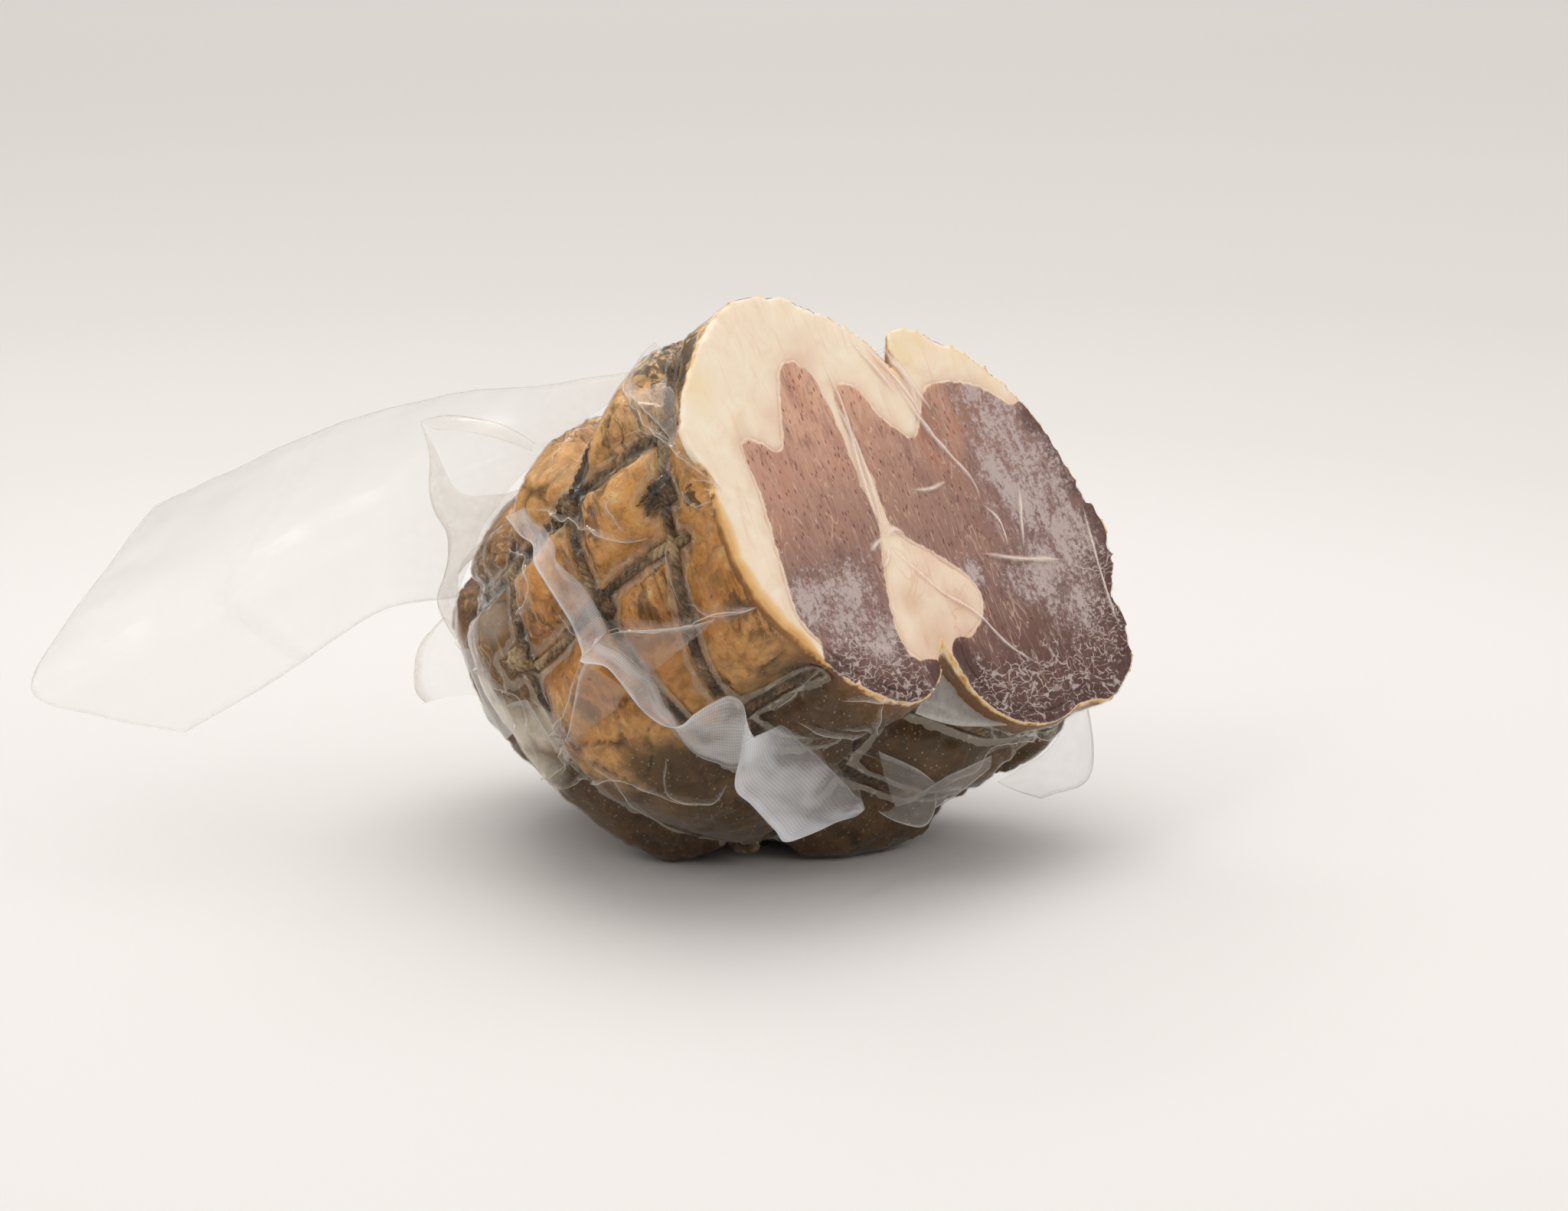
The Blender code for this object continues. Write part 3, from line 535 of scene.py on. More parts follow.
def rind_colour(tree, place):
    """Rind: golden brown by the cut and darker, dark olive low down, where the dark is painted shade; pale painted
    highlights on its upper side; grey at the tied end, black with mould in places.
    """
    depth = calc(tree, "MULTIPLY", axis_of(tree, place, "Z"), -1.0)
    stood = node(tree, "SeparateXYZ", {"Vector": node(tree, "TexCoord").outputs["Object"]})
    broad = cloud(tree, place, 26.0, 3.0)
    middle = cloud(tree, place, 9.0, 5.0, 0.6, 0.8)
    fine = cloud(tree, place, 1.6, 6.0, 0.7)
    # Painted shade: the rind is darker and more olive lower down, by its height over the table, and darker still
    # towards the right.
    to_right = calc(tree, "MAXIMUM", calc(tree, "SUBTRACT", stood.outputs["X"], 0.010), 0.0)
    shade_height = calc(tree, "MULTIPLY_ADD", to_right, -0.9, stood.outputs["Z"])
    shade_height = calc(tree, "MULTIPLY_ADD", broad, 0.06, calc(tree, "SUBTRACT", shade_height, 0.030))
    base = ramp(tree, calc(tree, "DIVIDE", shade_height, 0.185), [
        (0.13, (82, 60, 28)), (0.17, (100, 76, 34)), (0.225, (220, 166, 98)), (0.40, (202, 132, 54)),
        (0.65, (230, 168, 94)), (1.00, (246, 200, 140)),
    ])
    aged = step(tree, calc(tree, "MULTIPLY_ADD", broad, 60.0, depth), 95.0, 140.0)
    base = mixed(tree, calc(tree, "MULTIPLY", aged, 0.80), base, (104, 82, 60))
    base = mixed(tree, calc(tree, "MULTIPLY", step(tree, middle, 0.50, 0.36), 0.50), base, (120, 80, 40))
    # Painted highlight: pale patches only on the lit upper side of the rind.
    lit_top = step(tree, shade_height, 0.036, 0.050)
    light = calc(tree, "MULTIPLY", step(tree, middle, 0.53, 0.68), calc(tree, "MULTIPLY", lit_top, 0.60))
    base = mixed(tree, light, base, (238, 200, 138))
    below = calc(tree, "SUBTRACT", 1.0, lit_top)
    golden = calc(tree, "MULTIPLY", step(tree, cloud(tree, place, 16.0, 2.0), 0.54, 0.70), below)
    base = mixed(tree, calc(tree, "MULTIPLY", golden, 0.45), base, (128, 94, 34))
    greyed = calc(tree, "MULTIPLY", step(tree, cloud(tree, place, 13.0, 6.0, 0.66, 0.8), 0.52, 0.64), 0.42)
    base = mixed(tree, greyed, base, (126, 94, 64))
    wrinkled = attribute(tree, "folded")
    hairs = streaks(tree, place, 8, (0.75, 0.05, 0.42), 5.0, 0.6)
    dark_hairs = calc(tree, "MULTIPLY", step(tree, hairs, 0.50, 0.38), wrinkled)
    base = mixed(tree, calc(tree, "MULTIPLY", dark_hairs, 0.75), base, (92, 60, 30))
    # Pale streaks along the wrinkles, only on the lit upper side: partly the wrinkles' own colour, partly painted
    # highlight.
    pale_hairs = calc(tree, "MULTIPLY", step(tree, hairs, 0.54, 0.66), calc(tree, "MULTIPLY", wrinkled, lit_top))
    base = mixed(tree, calc(tree, "MULTIPLY", pale_hairs, 0.55), base, (232, 194, 138))
    fold = attribute(tree, "fold")
    # Painted shade: dark in the deeper valleys of the long folds.
    base = mixed(tree, calc(tree, "MULTIPLY", step(tree, fold, -0.10, -0.34), 0.60), base, (84, 54, 26))
    base = mixed(tree, calc(tree, "MULTIPLY", step(tree, fine, 0.50, 0.30), 0.35), base, (110, 74, 40))
    base = mixed(tree, calc(tree, "MULTIPLY", step(tree, fine, 0.58, 0.74), 0.40), base, (222, 190, 136))
    # Painted shade: dark in the grooves beside the twine, reaching wider at the tied end.
    twine_groove_shade = calc(tree, "MULTIPLY_ADD", cloud(tree, place, 5.0, 6.0, 0.72), 7.0, attribute(tree, "twine"))
    twine_groove_shade = calc(tree, "MULTIPLY_ADD", aged, -2.2, twine_groove_shade)
    base = mixed(tree, calc(tree, "MULTIPLY", step(tree, twine_groove_shade, 6.4, 4.2), 0.84), base, (50, 39, 25))
    specks = node(tree, "TexVoronoi", {"Vector": place, "Scale": 0.10}).outputs["Distance"]
    base = mixed(tree, calc(tree, "MULTIPLY", step(tree, specks, 0.09, 0.05), 0.6), base, (70, 48, 30))
    # Painted shade: darkest in the narrow creases, by how deep they are.
    base = mixed(tree, calc(tree, "MULTIPLY", attribute(tree, "crease"), 0.80), base, (44, 31, 18))
    grit = node(tree, "TexVoronoi", {"Vector": place, "Scale": 0.62})
    some = step(tree, axis_of(tree, grit.outputs["Color"], "X"), 0.50, 0.56)
    pale_grit = calc(tree, "MULTIPLY", step(tree, grit.outputs["Distance"], 0.26, 0.12), calc(tree, "MULTIPLY", some, below))
    base = mixed(tree, calc(tree, "MULTIPLY", pale_grit, 0.62), base, (196, 178, 140))
    by_rim = calc(tree, "MULTIPLY_ADD", cloud(tree, place, 7.0), 6.0, attribute(tree, "rim"))
    by_rim = calc(tree, "MULTIPLY", step(tree, by_rim, 9.0, 4.0), calc(tree, "MULTIPLY", below, step(tree, depth, 12.0, 2.0)))
    base = mixed(tree, calc(tree, "MULTIPLY", by_rim, 0.60), base, (144, 98, 54))
    black = None
    for x, y, z, radius in MOULD:
        off = node(tree, "VectorMath", {0: place, 1: (x, y, z)}, operation="DISTANCE").outputs["Value"]
        one = step(tree, off, radius, 0.0)
        black = one if black is None else calc(tree, "MAXIMUM", black, one)
    black = calc(tree, "MULTIPLY_ADD", black, 0.35, cloud(tree, place, 3.6, 7.0, 0.72, 0.5))
    return mixed(tree, calc(tree, "MULTIPLY", step(tree, black, 0.66, 0.74), 0.85), base, (50, 42, 34)), fine, middle, hairs


material, tree, shader = new_material(
    "fat_and_rind", Roughness=0.5, Specular_IOR_Level=0.2, Subsurface_Weight=0.12, Subsurface_Scale=0.004,
)
place = face_place(tree)
on_cut = cut_colour(tree, place)
on_rind, fine, middle, hairs = rind_colour(tree, place)
wavy = calc(tree, "MULTIPLY_ADD", cloud(tree, place, 4.0, 3.0), 1.6, -0.8)
outside = step(tree, calc(tree, "ADD", axis_of(tree, place, "Z"), wavy), -0.6, -1.6)
tree.links.new(mixed(tree, outside, on_cut, on_rind), shader.inputs["Base Color"])
height = calc(tree, "MULTIPLY_ADD", calc(tree, "MULTIPLY", hairs, attribute(tree, "folded")), 2.2, calc(
    tree, "ADD", fine, middle))
bump = node(tree, "Bump", {
    "Height": calc(tree, "MULTIPLY", height, outside), "Strength": 0.75, "Distance": 0.0012,
})
tree.links.new(bump.outputs["Normal"], shader.inputs["Normal"])
fat_shape = fat.copy()
piece_from(fat, "fat_with_rind", material, "fat_rind", "fat_and_rind")

# ---- Lean ----
# The two muscles, which fill their hollows in the fat and are cut flush with it. Each runs a little
# under the fat's edge, as the grown-together flesh leaves no gap.
LEAN_OVERLAP = 2.0            # mm that the lean runs under the edge of the fat
LEAN_NET = 1.25               # mm, the faces of the lean
material, tree, shader = new_material(
    "cured_lean", Roughness=0.5, Specular_IOR_Level=0.15, Subsurface_Weight=0.10, Subsurface_Scale=0.002,
)
place = face_place(tree)
tree.links.new(cut_colour(tree, place), shader.inputs["Base Color"])
bump = node(tree, "Bump", {"Height": cloud(tree, place, 1.6, 5.0, 0.7), "Strength": 0.25, "Distance": 0.0008})
tree.links.new(bump.outputs["Normal"], shader.inputs["Normal"])
lean_shapes = []
for name, solid in lean_solids.items():
    lean = solid.copy()
    lean.normal_update()
    for vert in lean.verts:
        vert.co += vert.normal * LEAN_OVERLAP
    trimmed = bmesh.ops.bisect_plane(
        lean, geom=lean.verts[:] + lean.edges[:] + lean.faces[:], dist=0.001,
        plane_co=(0, 0, 0.12), plane_no=(0, 0, 1), clear_outer=True,
    )
    rim_edges = [edge for edge in lean.edges if edge.is_boundary]
    bmesh.ops.triangle_fill(lean, use_beauty=True, use_dissolve=False, edges=rim_edges)
    bmesh.ops.recalc_face_normals(lean, faces=lean.faces)
    lean = evaluated(lean, "REMESH", mode="VOXEL", voxel_size=LEAN_NET)
    for vert in lean.verts:
        if vert.co.z > -0.9:
            vert.co.z += cut_swell(vert.co)
    mark(lean, "rim", lambda vert: rim.find(Vector((vert.co.x, vert.co.y, 0.0)))[2])
    mark(lean, "lean", lambda vert: lean_depth(vert.co))
    lean_shapes.append(lean.copy())
    piece_from(lean, "lean_" + name.split("_")[1], material, "lean", name)

# ---- Twine ----
# Jute twine of three twisted strands in rings round the meat, with lengthwise ties that are knotted
# to them. It cuts into the rind, and it has gone dark with mould.
DOME_DEPTH = 172.0            # mm from the cut to the tied end
HALF_WIDTH = 84.0
HALF_HEIGHT = 77.0
TIED_END = (-14.0, 12.0)
BELLY_SHIFT = (-13.0, -16.0)
BELLY_BULGE = 0.06
DOME_POWER = 2.3
COLUMNS = 88
ROWS = 26
ROW_CROWDING = 1.15
RELAX_PER_MM = 0.6
CUT_OUTLINE = [
    (-52, 76), (-34, 83), (-11, 80), (4, 71), (16, 61), (25, 48), (26, 46), (24, 57), (31, 64),
    (49, 57), (69, 42), (83, 20), (87, 4), (93, -15), (90, -31), (83, -39), (85, -52), (78, -64),
    (64, -72), (48, -70), (30, -73), (9, -66), (-1, -53), (-6, -36), (-12, -48), (-27, -53),
    (-45, -45), (-62, -29), (-75, -13), (-80, 6), (-78, 22), (-74, 30), (-81, 42), (-76, 54), (-64, 66),
]
# Each ring: its depth as a share of the meat's, the swing of its front part away from the cut, where
# round the meat that swing is, and how wide
RINGS = [
    (0.075, 0.12, 0.765, 0.100), (0.270, 0.03, 0.930, 0.060), (0.510, 0.07, 0.790, 0.060),
    (0.760, 0.00, 0.500, 0.100),
]
# Each lengthwise tie: its place round the meat, and the shares of depth where it starts and ends
TIES = [
    (0.945, 0.030, 0.760), (0.877, 0.075, 0.505), (0.771, 0.025, 0.275), (0.655, 0.120, 0.755),
    (0.530, 0.085, 0.510), (0.400, 0.080, 0.755), (0.270, 0.075, 0.505), (0.130, 0.080, 0.755),
]
TIE_SWAY = 0.008
# Each knot: its place round the meat and its share of depth
KNOTS = [(0.910, 0.085), (0.877, 0.272), (0.945, 0.298), (0.655, 0.508), (0.877, 0.520), (0.130, 0.270)]
TWINE_HEIGHT = 1.3            # mm from the rind to the middle of the twine
TWINE_STEP = 1.1
STRAND_RADIUS = 0.84
STRAND_OFFSET = 0.92          # of a strand's middle from the twine's
LAY_LENGTH = 7.5              # mm of twine for one full twist
STRANDS = 3


def curve_through(points, count, closed):
    """Evenly spaced points on a smooth curve through the given ones."""
    points = np.asarray(points, dtype=float)
    total = len(points)
    dense = []
    for i in range(total if closed else total - 1):
        if closed:
            p0, p1, p2, p3 = points[i - 1], points[i], points[(i + 1) % total], points[(i + 2) % total]
        else:
            p0, p1 = points[max(i - 1, 0)], points[i]
            p2, p3 = points[i + 1], points[min(i + 2, total - 1)]
        for t in np.linspace(0.0, 1.0, 12, endpoint=False):
            dense.append(0.5 * (2 * p1 + (p2 - p0) * t + (2 * p0 - 5 * p1 + 4 * p2 - p3) * t ** 2
                                + (3 * p1 - p0 - 3 * p2 + p3) * t ** 3))
    dense.append(points[0] if closed else points[-1])
    dense = np.array(dense)
    run = np.concatenate([[0.0], np.cumsum(np.linalg.norm(np.diff(dense, axis=0), axis=1))])
    stops = np.linspace(0.0, run[-1], count, endpoint=not closed)
    return np.stack([np.interp(stops, run, dense[:, axis]) for axis in range(dense.shape[1])], axis=-1)


def depth_share(row):
    """How deep a row of the smooth dome lies."""
    return math.sin((row / ROWS) ** ROW_CROWDING * math.pi / 2)


def smooth_dome():
    """Rows of points over the meat as it would be without twine, seen from the cut."""
    outline = curve_through(CUT_OUTLINE, COLUMNS, True)
    cut_middle = (outline.min(axis=0) + outline.max(axis=0)) / 2
    outline = outline - cut_middle
    rows = []
    for row in range(ROWS):
        share = depth_share(row)
        if row:
            for _ in range(round(RELAX_PER_MM * DOME_DEPTH * (share - depth_share(row - 1)))):
                outline = 0.5 * outline + 0.25 * (np.roll(outline, 1, axis=0) + np.roll(outline, -1, axis=0))
            low, high = outline.min(axis=0), outline.max(axis=0)
            outline = (outline - (low + high) / 2) * (2 * np.array([HALF_WIDTH, HALF_HEIGHT]) / (high - low))
        girth = math.sqrt(1 - share ** DOME_POWER) * (1 + BELLY_BULGE * math.sin(math.pi * min(1, share / 0.75)))
        middle = cut_middle + (np.array(TIED_END) - cut_middle) * share ** 1.3
        middle = middle + np.array(BELLY_SHIFT) * math.sin(math.pi * share)
        rows.append(np.column_stack([middle + girth * outline, np.full(COLUMNS, -DOME_DEPTH * share)]))
    return np.array(rows)


dome = smooth_dome()
dome_facing = np.cross(np.roll(dome, -1, axis=1) - np.roll(dome, 1, axis=1), np.gradient(dome, axis=0))
dome_facing /= np.linalg.norm(dome_facing, axis=-1, keepdims=True)
if ((dome - dome.mean(axis=(0, 1))) * dome_facing).sum() < 0:
    dome_facing = -dome_facing


def on_dome(grid, around, share):
    """A value read off the dome's rows at a place round it and a share of its depth."""
    row = (math.asin(min(max(share, 0.0), 1.0)) / (math.pi / 2)) ** (1 / ROW_CROWDING) * ROWS
    row = min(row, ROWS - 1.001)
    column = (around % 1.0) * COLUMNS
    i, k = int(row), int(column)
    a, b = row - i, column - k
    k2 = (k + 1) % COLUMNS
    return (grid[i, k] * (1 - a) * (1 - b) + grid[i, k2] * (1 - a) * b
            + grid[i + 1, k] * a * (1 - b) + grid[i + 1, k2] * a * b)


meat_tree = BVHTree.FromBMesh(fat_shape)


def over_rind(around, share, height):
    """A point at a height over the rind, and the way out from it."""
    point = Vector(on_dome(dome, around, share))
    out = Vector(on_dome(dome_facing, around, share)).normalized()
    hit = meat_tree.ray_cast(point + out * 20.0, -out)[0]
    return (point if hit is None else hit) + out * height, out


def twine_routes():
    """Each run of twine as places and shares of depth, and whether it closes on itself."""
    routes = []
    for share, swing, middle, width in RINGS:
        spots = []
        for around in np.linspace(0.0, 1.0, 160, endpoint=False):
            off = (around - middle + 0.5) % 1.0 - 0.5
            spots.append((around, share + swing * math.exp(-(off / width) ** 2)))
        routes.append((spots, True))
    for around, start, end in TIES:
        spots = [(around + TIE_SWAY * math.sin(9 * share), share) for share in np.linspace(start, end, 40)]
        routes.append((spots, False))
    return routes


def even_route(route, gap, closed):
    """The same route with places that are about one gap apart on the meat."""
    if closed:
        route = route + [(route[0][0] + 1.0, route[0][1])]
    points = np.array([on_dome(dome, around, share) for around, share in route])
    run = np.concatenate([[0.0], np.cumsum(np.linalg.norm(np.diff(points, axis=0), axis=1))])
    stops = np.linspace(0.0, run[-1], max(3, round(run[-1] / gap)), endpoint=not closed)
    route = np.array(route)
    return np.stack([np.interp(stops, run, route[:, 0]), np.interp(stops, run, route[:, 1])], axis=-1)


def eased(points, closed, rounds):
    """A run of points with its small kinks taken out."""
    points = np.array(points)
    for _ in range(rounds):
        near = 0.5 * points + 0.25 * (np.roll(points, 1, axis=0) + np.roll(points, -1, axis=0))
        if not closed:
            near[0], near[-1] = points[0], points[-1]
        points = near
    return points


def twisted(middle, out, closed, strands=STRANDS, offset=STRAND_OFFSET):
    """The middle lines of strands that wind round a run of twine."""
    along = np.roll(middle, -1, axis=0) - np.roll(middle, 1, axis=0)
    if not closed:
        along[0], along[-1] = middle[1] - middle[0], middle[-1] - middle[-2]
    along /= np.linalg.norm(along, axis=1, keepdims=True)
    side = np.cross(along, out)
    side /= np.linalg.norm(side, axis=1, keepdims=True)
    up = np.cross(side, along)
    run = np.concatenate([[0.0], np.cumsum(np.linalg.norm(np.diff(middle, axis=0), axis=1))])
    length = run[-1] + (np.linalg.norm(middle[0] - middle[-1]) if closed else 0.0)
    turns = max(1, round(length / LAY_LENGTH)) if closed else length / LAY_LENGTH
    lines = []
    for k in range(strands):
        angle = 2 * math.pi * (turns * run / length + k / strands)
        lines.append(middle + offset * (np.cos(angle)[:, None] * side + np.sin(angle)[:, None] * up))
    return lines


def tubes(lines, round_edges=1):
    """Round tubes along lines of points, each given with its radius and whether it closes, as a bmesh."""
    curve = bpy.data.curves.new("working", "CURVE")
    curve.dimensions = "3D"
    curve.bevel_depth = 1.0
    curve.bevel_resolution = round_edges
    curve.use_fill_caps = True
    for points, radius, closed in lines:
        line = curve.splines.new("POLY")
        line.points.add(len(points) - 1)
        for spot, point in zip(line.points, points):
            spot.co = (*point, 1.0)
            spot.radius = radius
        line.use_cyclic_u = closed
    holder = bpy.data.objects.new("working", curve)
    bpy.context.scene.collection.objects.link(holder)
    bpy.context.view_layer.update()
    mesh = bpy.data.meshes.new_from_object(holder.evaluated_get(bpy.context.evaluated_depsgraph_get()))
    made = bmesh.new()
    made.from_mesh(mesh)
    bpy.data.objects.remove(holder)
    bpy.data.curves.remove(curve)
    bpy.data.meshes.remove(mesh)
    return made


strand_lines = []
twine_middles = []
for route, closed in twine_routes():
    laid = [over_rind(around, share, TWINE_HEIGHT) for around, share in even_route(route, TWINE_STEP, closed)]
    middle = eased([spot for spot, _ in laid], closed, 6)
    twine_middles.append((middle, closed))
    out = np.array([way for _, way in laid])
    strand_lines += [(line, STRAND_RADIUS, closed) for line in twisted(middle, out, closed)]

# The knots: two coils of twine round each crossing, and a frayed tuft of cut ends on some
random_state = np.random.default_rng(5)
KNOT_COIL = 2.6               # mm, radius of a knot's coil
TUFT_FIBRES = 34
TUFT_LENGTH = 9.0
for number, (around, share) in enumerate(KNOTS):
    middle, out = over_rind(around, share, 2.6)
    ahead, _ = over_rind(around, share + 0.03, 2.6)
    along = (ahead - middle).normalized()
    side = along.cross(out).normalized()
    coil = []
    for t in np.linspace(0.0, 2.3, 44):
        turn = 2 * math.pi * t
        coil.append(middle + side * (KNOT_COIL * math.cos(turn)) + out * (KNOT_COIL * 0.8 * math.sin(turn))
                    + along * (2.4 * (t - 1.15)) + side * 0.6 * math.sin(2.1 * turn))
    coil = np.array(coil)
    ways = coil - np.array(middle)
    strand_lines += [(line, STRAND_RADIUS, False) for line in twisted(coil, ways, False)]
    if number % 2:
        continue
    for _ in range(TUFT_FIBRES):
        spread = side * random_state.uniform(-2.6, 2.6) + out * random_state.uniform(-0.6, 1.6)
        reach = TUFT_LENGTH * random_state.uniform(0.5, 1.1)
        bend = side * random_state.uniform(-2.0, 2.0)
        fibre = [middle + spread + along * reach * t + bend * t * t - out * 1.5 * t for t in np.linspace(0, 1, 5)]
        strand_lines.append((fibre, 0.24, False))

twine = tubes(strand_lines)
material, tree, shader = new_material("mouldy_jute", Roughness=0.85, Specular_IOR_Level=0.3)
place = face_place(tree)
fibre = cloud(tree, place, 0.8, 6.0, 0.75)
age = calc(tree, "MULTIPLY_ADD", cloud(tree, place, 11.0, 4.0, 0.6), 1.4, calc(tree, "MULTIPLY", fibre, 0.6))
colour = ramp(tree, calc(tree, "DIVIDE", age, 2.0), [
    (0.38, (44, 34, 22)), (0.47, (90, 70, 46)), (0.54, (136, 110, 78)), (0.64, (186, 162, 122)),
])
tree.links.new(colour, shader.inputs["Base Color"])
bump = node(tree, "Bump", {"Height": fibre, "Strength": 0.6, "Distance": 0.0006})
tree.links.new(bump.outputs["Normal"], shader.inputs["Normal"])
twine_shape = twine.copy()
piece_from(twine, "twine", material, "twine", "twine_net")

# ---- Clinging film ----
# The bag, shrunk on to the meat by the vacuum. It bridges the grooves beside the twine and is drawn
# into pleats. It is clear where it clings, milky where it has lifted, and milky on its folds, where the
# white of the crests is partly a painted highlight.
FILM_NET = 1.5                # mm, the faces of the film
FILM_CLEARANCE = 0.45         # mm that the film keeps off the meat and the twine
TAUT_ROUNDS = 8
SHEET_THICKNESS = 0.12 * MM


def film_material(name, gloss_roughness, milk_colour=(232, 229, 224), gloss=0.65, backlit=0.5, net_pitch=0.0,
                  lifts=False):
    """Clear plastic film, milky by the number "haze" at each vertex, or where it "lifts" off the meat."""
    made = bpy.data.materials.new(name)
    made.use_nodes = True
    tree = made.node_tree
    tree.nodes.remove(tree.nodes["Principled BSDF"])
    place = face_place(tree)
    clear = node(tree, "BsdfTransparent", {"Color": (0.995, 0.995, 0.994, 1.0)})
    milk = node(tree, "BsdfDiffuse", {"Color": linear(*milk_colour), "Roughness": 0.4})
    lit = node(tree, "BsdfTranslucent", {"Color": linear(*milk_colour)})
    cloudy = node(tree, "MixShader", {"Fac": backlit, 1: milk.outputs[0], 2: lit.outputs[0]})
    uneven = cloud(tree, place, 3.0, 6.0, 0.7)
    if net_pitch:
        drawn = node(tree, "Mapping", {"Vector": node(tree, "UVMap").outputs["UV"], "Scale": (0.10, 0.045, 1.0)})
        uneven = step(tree, cloud(tree, drawn.outputs["Vector"], 1.0, 2.0, 0.5, 0.4), 0.25, 0.75)
    share = calc(tree, "MULTIPLY", attribute(tree, "haze"), calc(tree, "MULTIPLY_ADD", uneven, 1.2, 0.4))
    if lifts:
        stray = cloud(tree, place, 7.0, 4.0, 0.55)
        gap = calc(tree, "MULTIPLY_ADD", stray, 1.4, attribute(tree, "gap"))
        share = calc(tree, "MULTIPLY_ADD", step(tree, gap, 1.9, 2.1), 0.20, share)
        beside = calc(tree, "MULTIPLY_ADD", stray, 5.0, attribute(tree, "twine"))
        low = step(tree, axis_of(tree, node(tree, "TexCoord").outputs["Object"], "Z"), 0.110, 0.040)
        beside = calc(tree, "MULTIPLY_ADD", low, -1.2, beside)
        band = calc(tree, "MULTIPLY", step(tree, beside, 5.0, 4.7), step(tree, attribute(tree, "twine"), 0.7, 1.2))
        share = calc(tree, "MULTIPLY_ADD", band, calc(tree, "MULTIPLY_ADD", low, 0.22, 0.14), share)
        border = calc(tree, "ABSOLUTE", calc(tree, "SUBTRACT", beside, 4.9))
        share = calc(tree, "MULTIPLY_ADD", step(tree, border, 0.14, 0.0), calc(tree, "MULTIPLY_ADD", low, 0.14, 0.22), share)
    relief = calc(tree, "MULTIPLY_ADD", cloud(tree, place, 1.5, 3.0), 0.25, cloud(tree, place, 6.0, 3.0))
    if lifts:
        behind_cut = step(tree, axis_of(tree, place, "Z"), -1.0, -4.0)
        drawn = calc(tree, "MULTIPLY", streaks(tree, place, 8, (0.5, 0.05, 0.3)), behind_cut)
        relief = calc(tree, "MULTIPLY_ADD", drawn, 1.6, relief)
    if net_pitch:
        net = node(tree, "UVMap").outputs["UV"]
        across = node(tree, "TexWave", {"Vector": net, "Scale": 0.314 / net_pitch}, bands_direction="X")
        along = node(tree, "TexWave", {"Vector": net, "Scale": 0.314 / net_pitch}, bands_direction="Y")
        knots = calc(tree, "MULTIPLY", across.outputs["Fac"], along.outputs["Fac"])
        share = calc(tree, "MULTIPLY", share, calc(tree, "MULTIPLY_ADD", knots, 0.5, 0.86))
        relief = calc(tree, "MULTIPLY_ADD", knots, 0.5, relief)
    share = node(tree, "Clamp", {"Value": share, "Max": 0.92}).outputs[0]
    body = node(tree, "MixShader", {"Fac": share, 1: clear.outputs[0], 2: cloudy.outputs[0]})
    bump = node(tree, "Bump", {"Height": relief, "Strength": 0.25, "Distance": 0.0005})
    shine = node(tree, "BsdfGlossy", {
        "Color": (1, 1, 1, 1), "Roughness": gloss_roughness, "Normal": bump.outputs["Normal"],
    })
    facing = node(tree, "LayerWeight", {"Blend": 0.5, "Normal": bump.outputs["Normal"]}).outputs["Facing"]
    grazing = calc(tree, "MULTIPLY_ADD", calc(tree, "POWER", facing, 5.0), gloss, 0.022 * gloss)
    whole = node(tree, "MixShader", {"Fac": grazing, 1: body.outputs[0], 2: shine.outputs[0]})
    tree.links.new(whole.outputs[0], tree.nodes["Material Output"].inputs["Surface"])
    return made


def joined(*solids):
    """Several bmeshes as one."""
    made = bmesh.new()
    for solid in solids:
        mesh = bpy.data.meshes.new("working")
        solid.to_mesh(mesh)
        made.from_mesh(mesh)
        bpy.data.meshes.remove(mesh)
    return made


def largest_part(solid):
    """Leaves only the largest connected part of a bmesh."""
    unseen, parts = set(solid.verts), []
    while unseen:
        seed = unseen.pop()
        part, edge_of = [seed], [seed]
        while edge_of:
            vert = edge_of.pop()
            for edge in vert.link_edges:
                other = edge.other_vert(vert)
                if other in unseen:
                    unseen.discard(other)
                    part.append(other)
                    edge_of.append(other)
        parts.append(part)
    parts.sort(key=len)
    for part in parts[:-1]:
        bmesh.ops.delete(solid, geom=part, context="VERTS")


def lift_off(point, tree, clearance):
    """The least move that keeps a point a clearance outside a solid."""
    place, facing, _, distance = tree.find_nearest(point)
    off = point - place
    if off.dot(facing) < 0:
        return facing * (clearance + distance)
    if distance < clearance:
        return (off / distance if distance > 1e-6 else facing) * (clearance - distance)
    return Vector()


def grid_bmesh(rows, haze):
    """Rows of places in millimetres of the part's frame as a sheet, with its haze and its net in UV."""
    count, width = rows.shape[:2]
    sheet = bmesh.new()
    bmesh.ops.create_grid(sheet, x_segments=width - 1, y_segments=count - 1, size=0.5, calc_uvs=True)
    layer = sheet.verts.layers.float.new("haze")
    uv = sheet.loops.layers.uv.verify()
    run = np.concatenate([[0.0], np.cumsum(np.linalg.norm(np.diff(rows[:, width // 2], axis=0), axis=1))])
    side = np.linalg.norm(rows[:, -1] - rows[:, 0], axis=1).mean()
    spots = {}
    for vert in sheet.verts:
        i, k = round((vert.co.y + 0.5) * (count - 1)), round((vert.co.x + 0.5) * (width - 1))
        spots[vert] = (k / (width - 1) * side, run[i])
        vert.co = Vector(rows[i, k]) * MM
        vert[layer] = haze(i / (count - 1), k / (width - 1))
    for face in sheet.faces:
        for loop in face.loops:
            loop[uv].uv = spots[loop.vert]
    return sheet


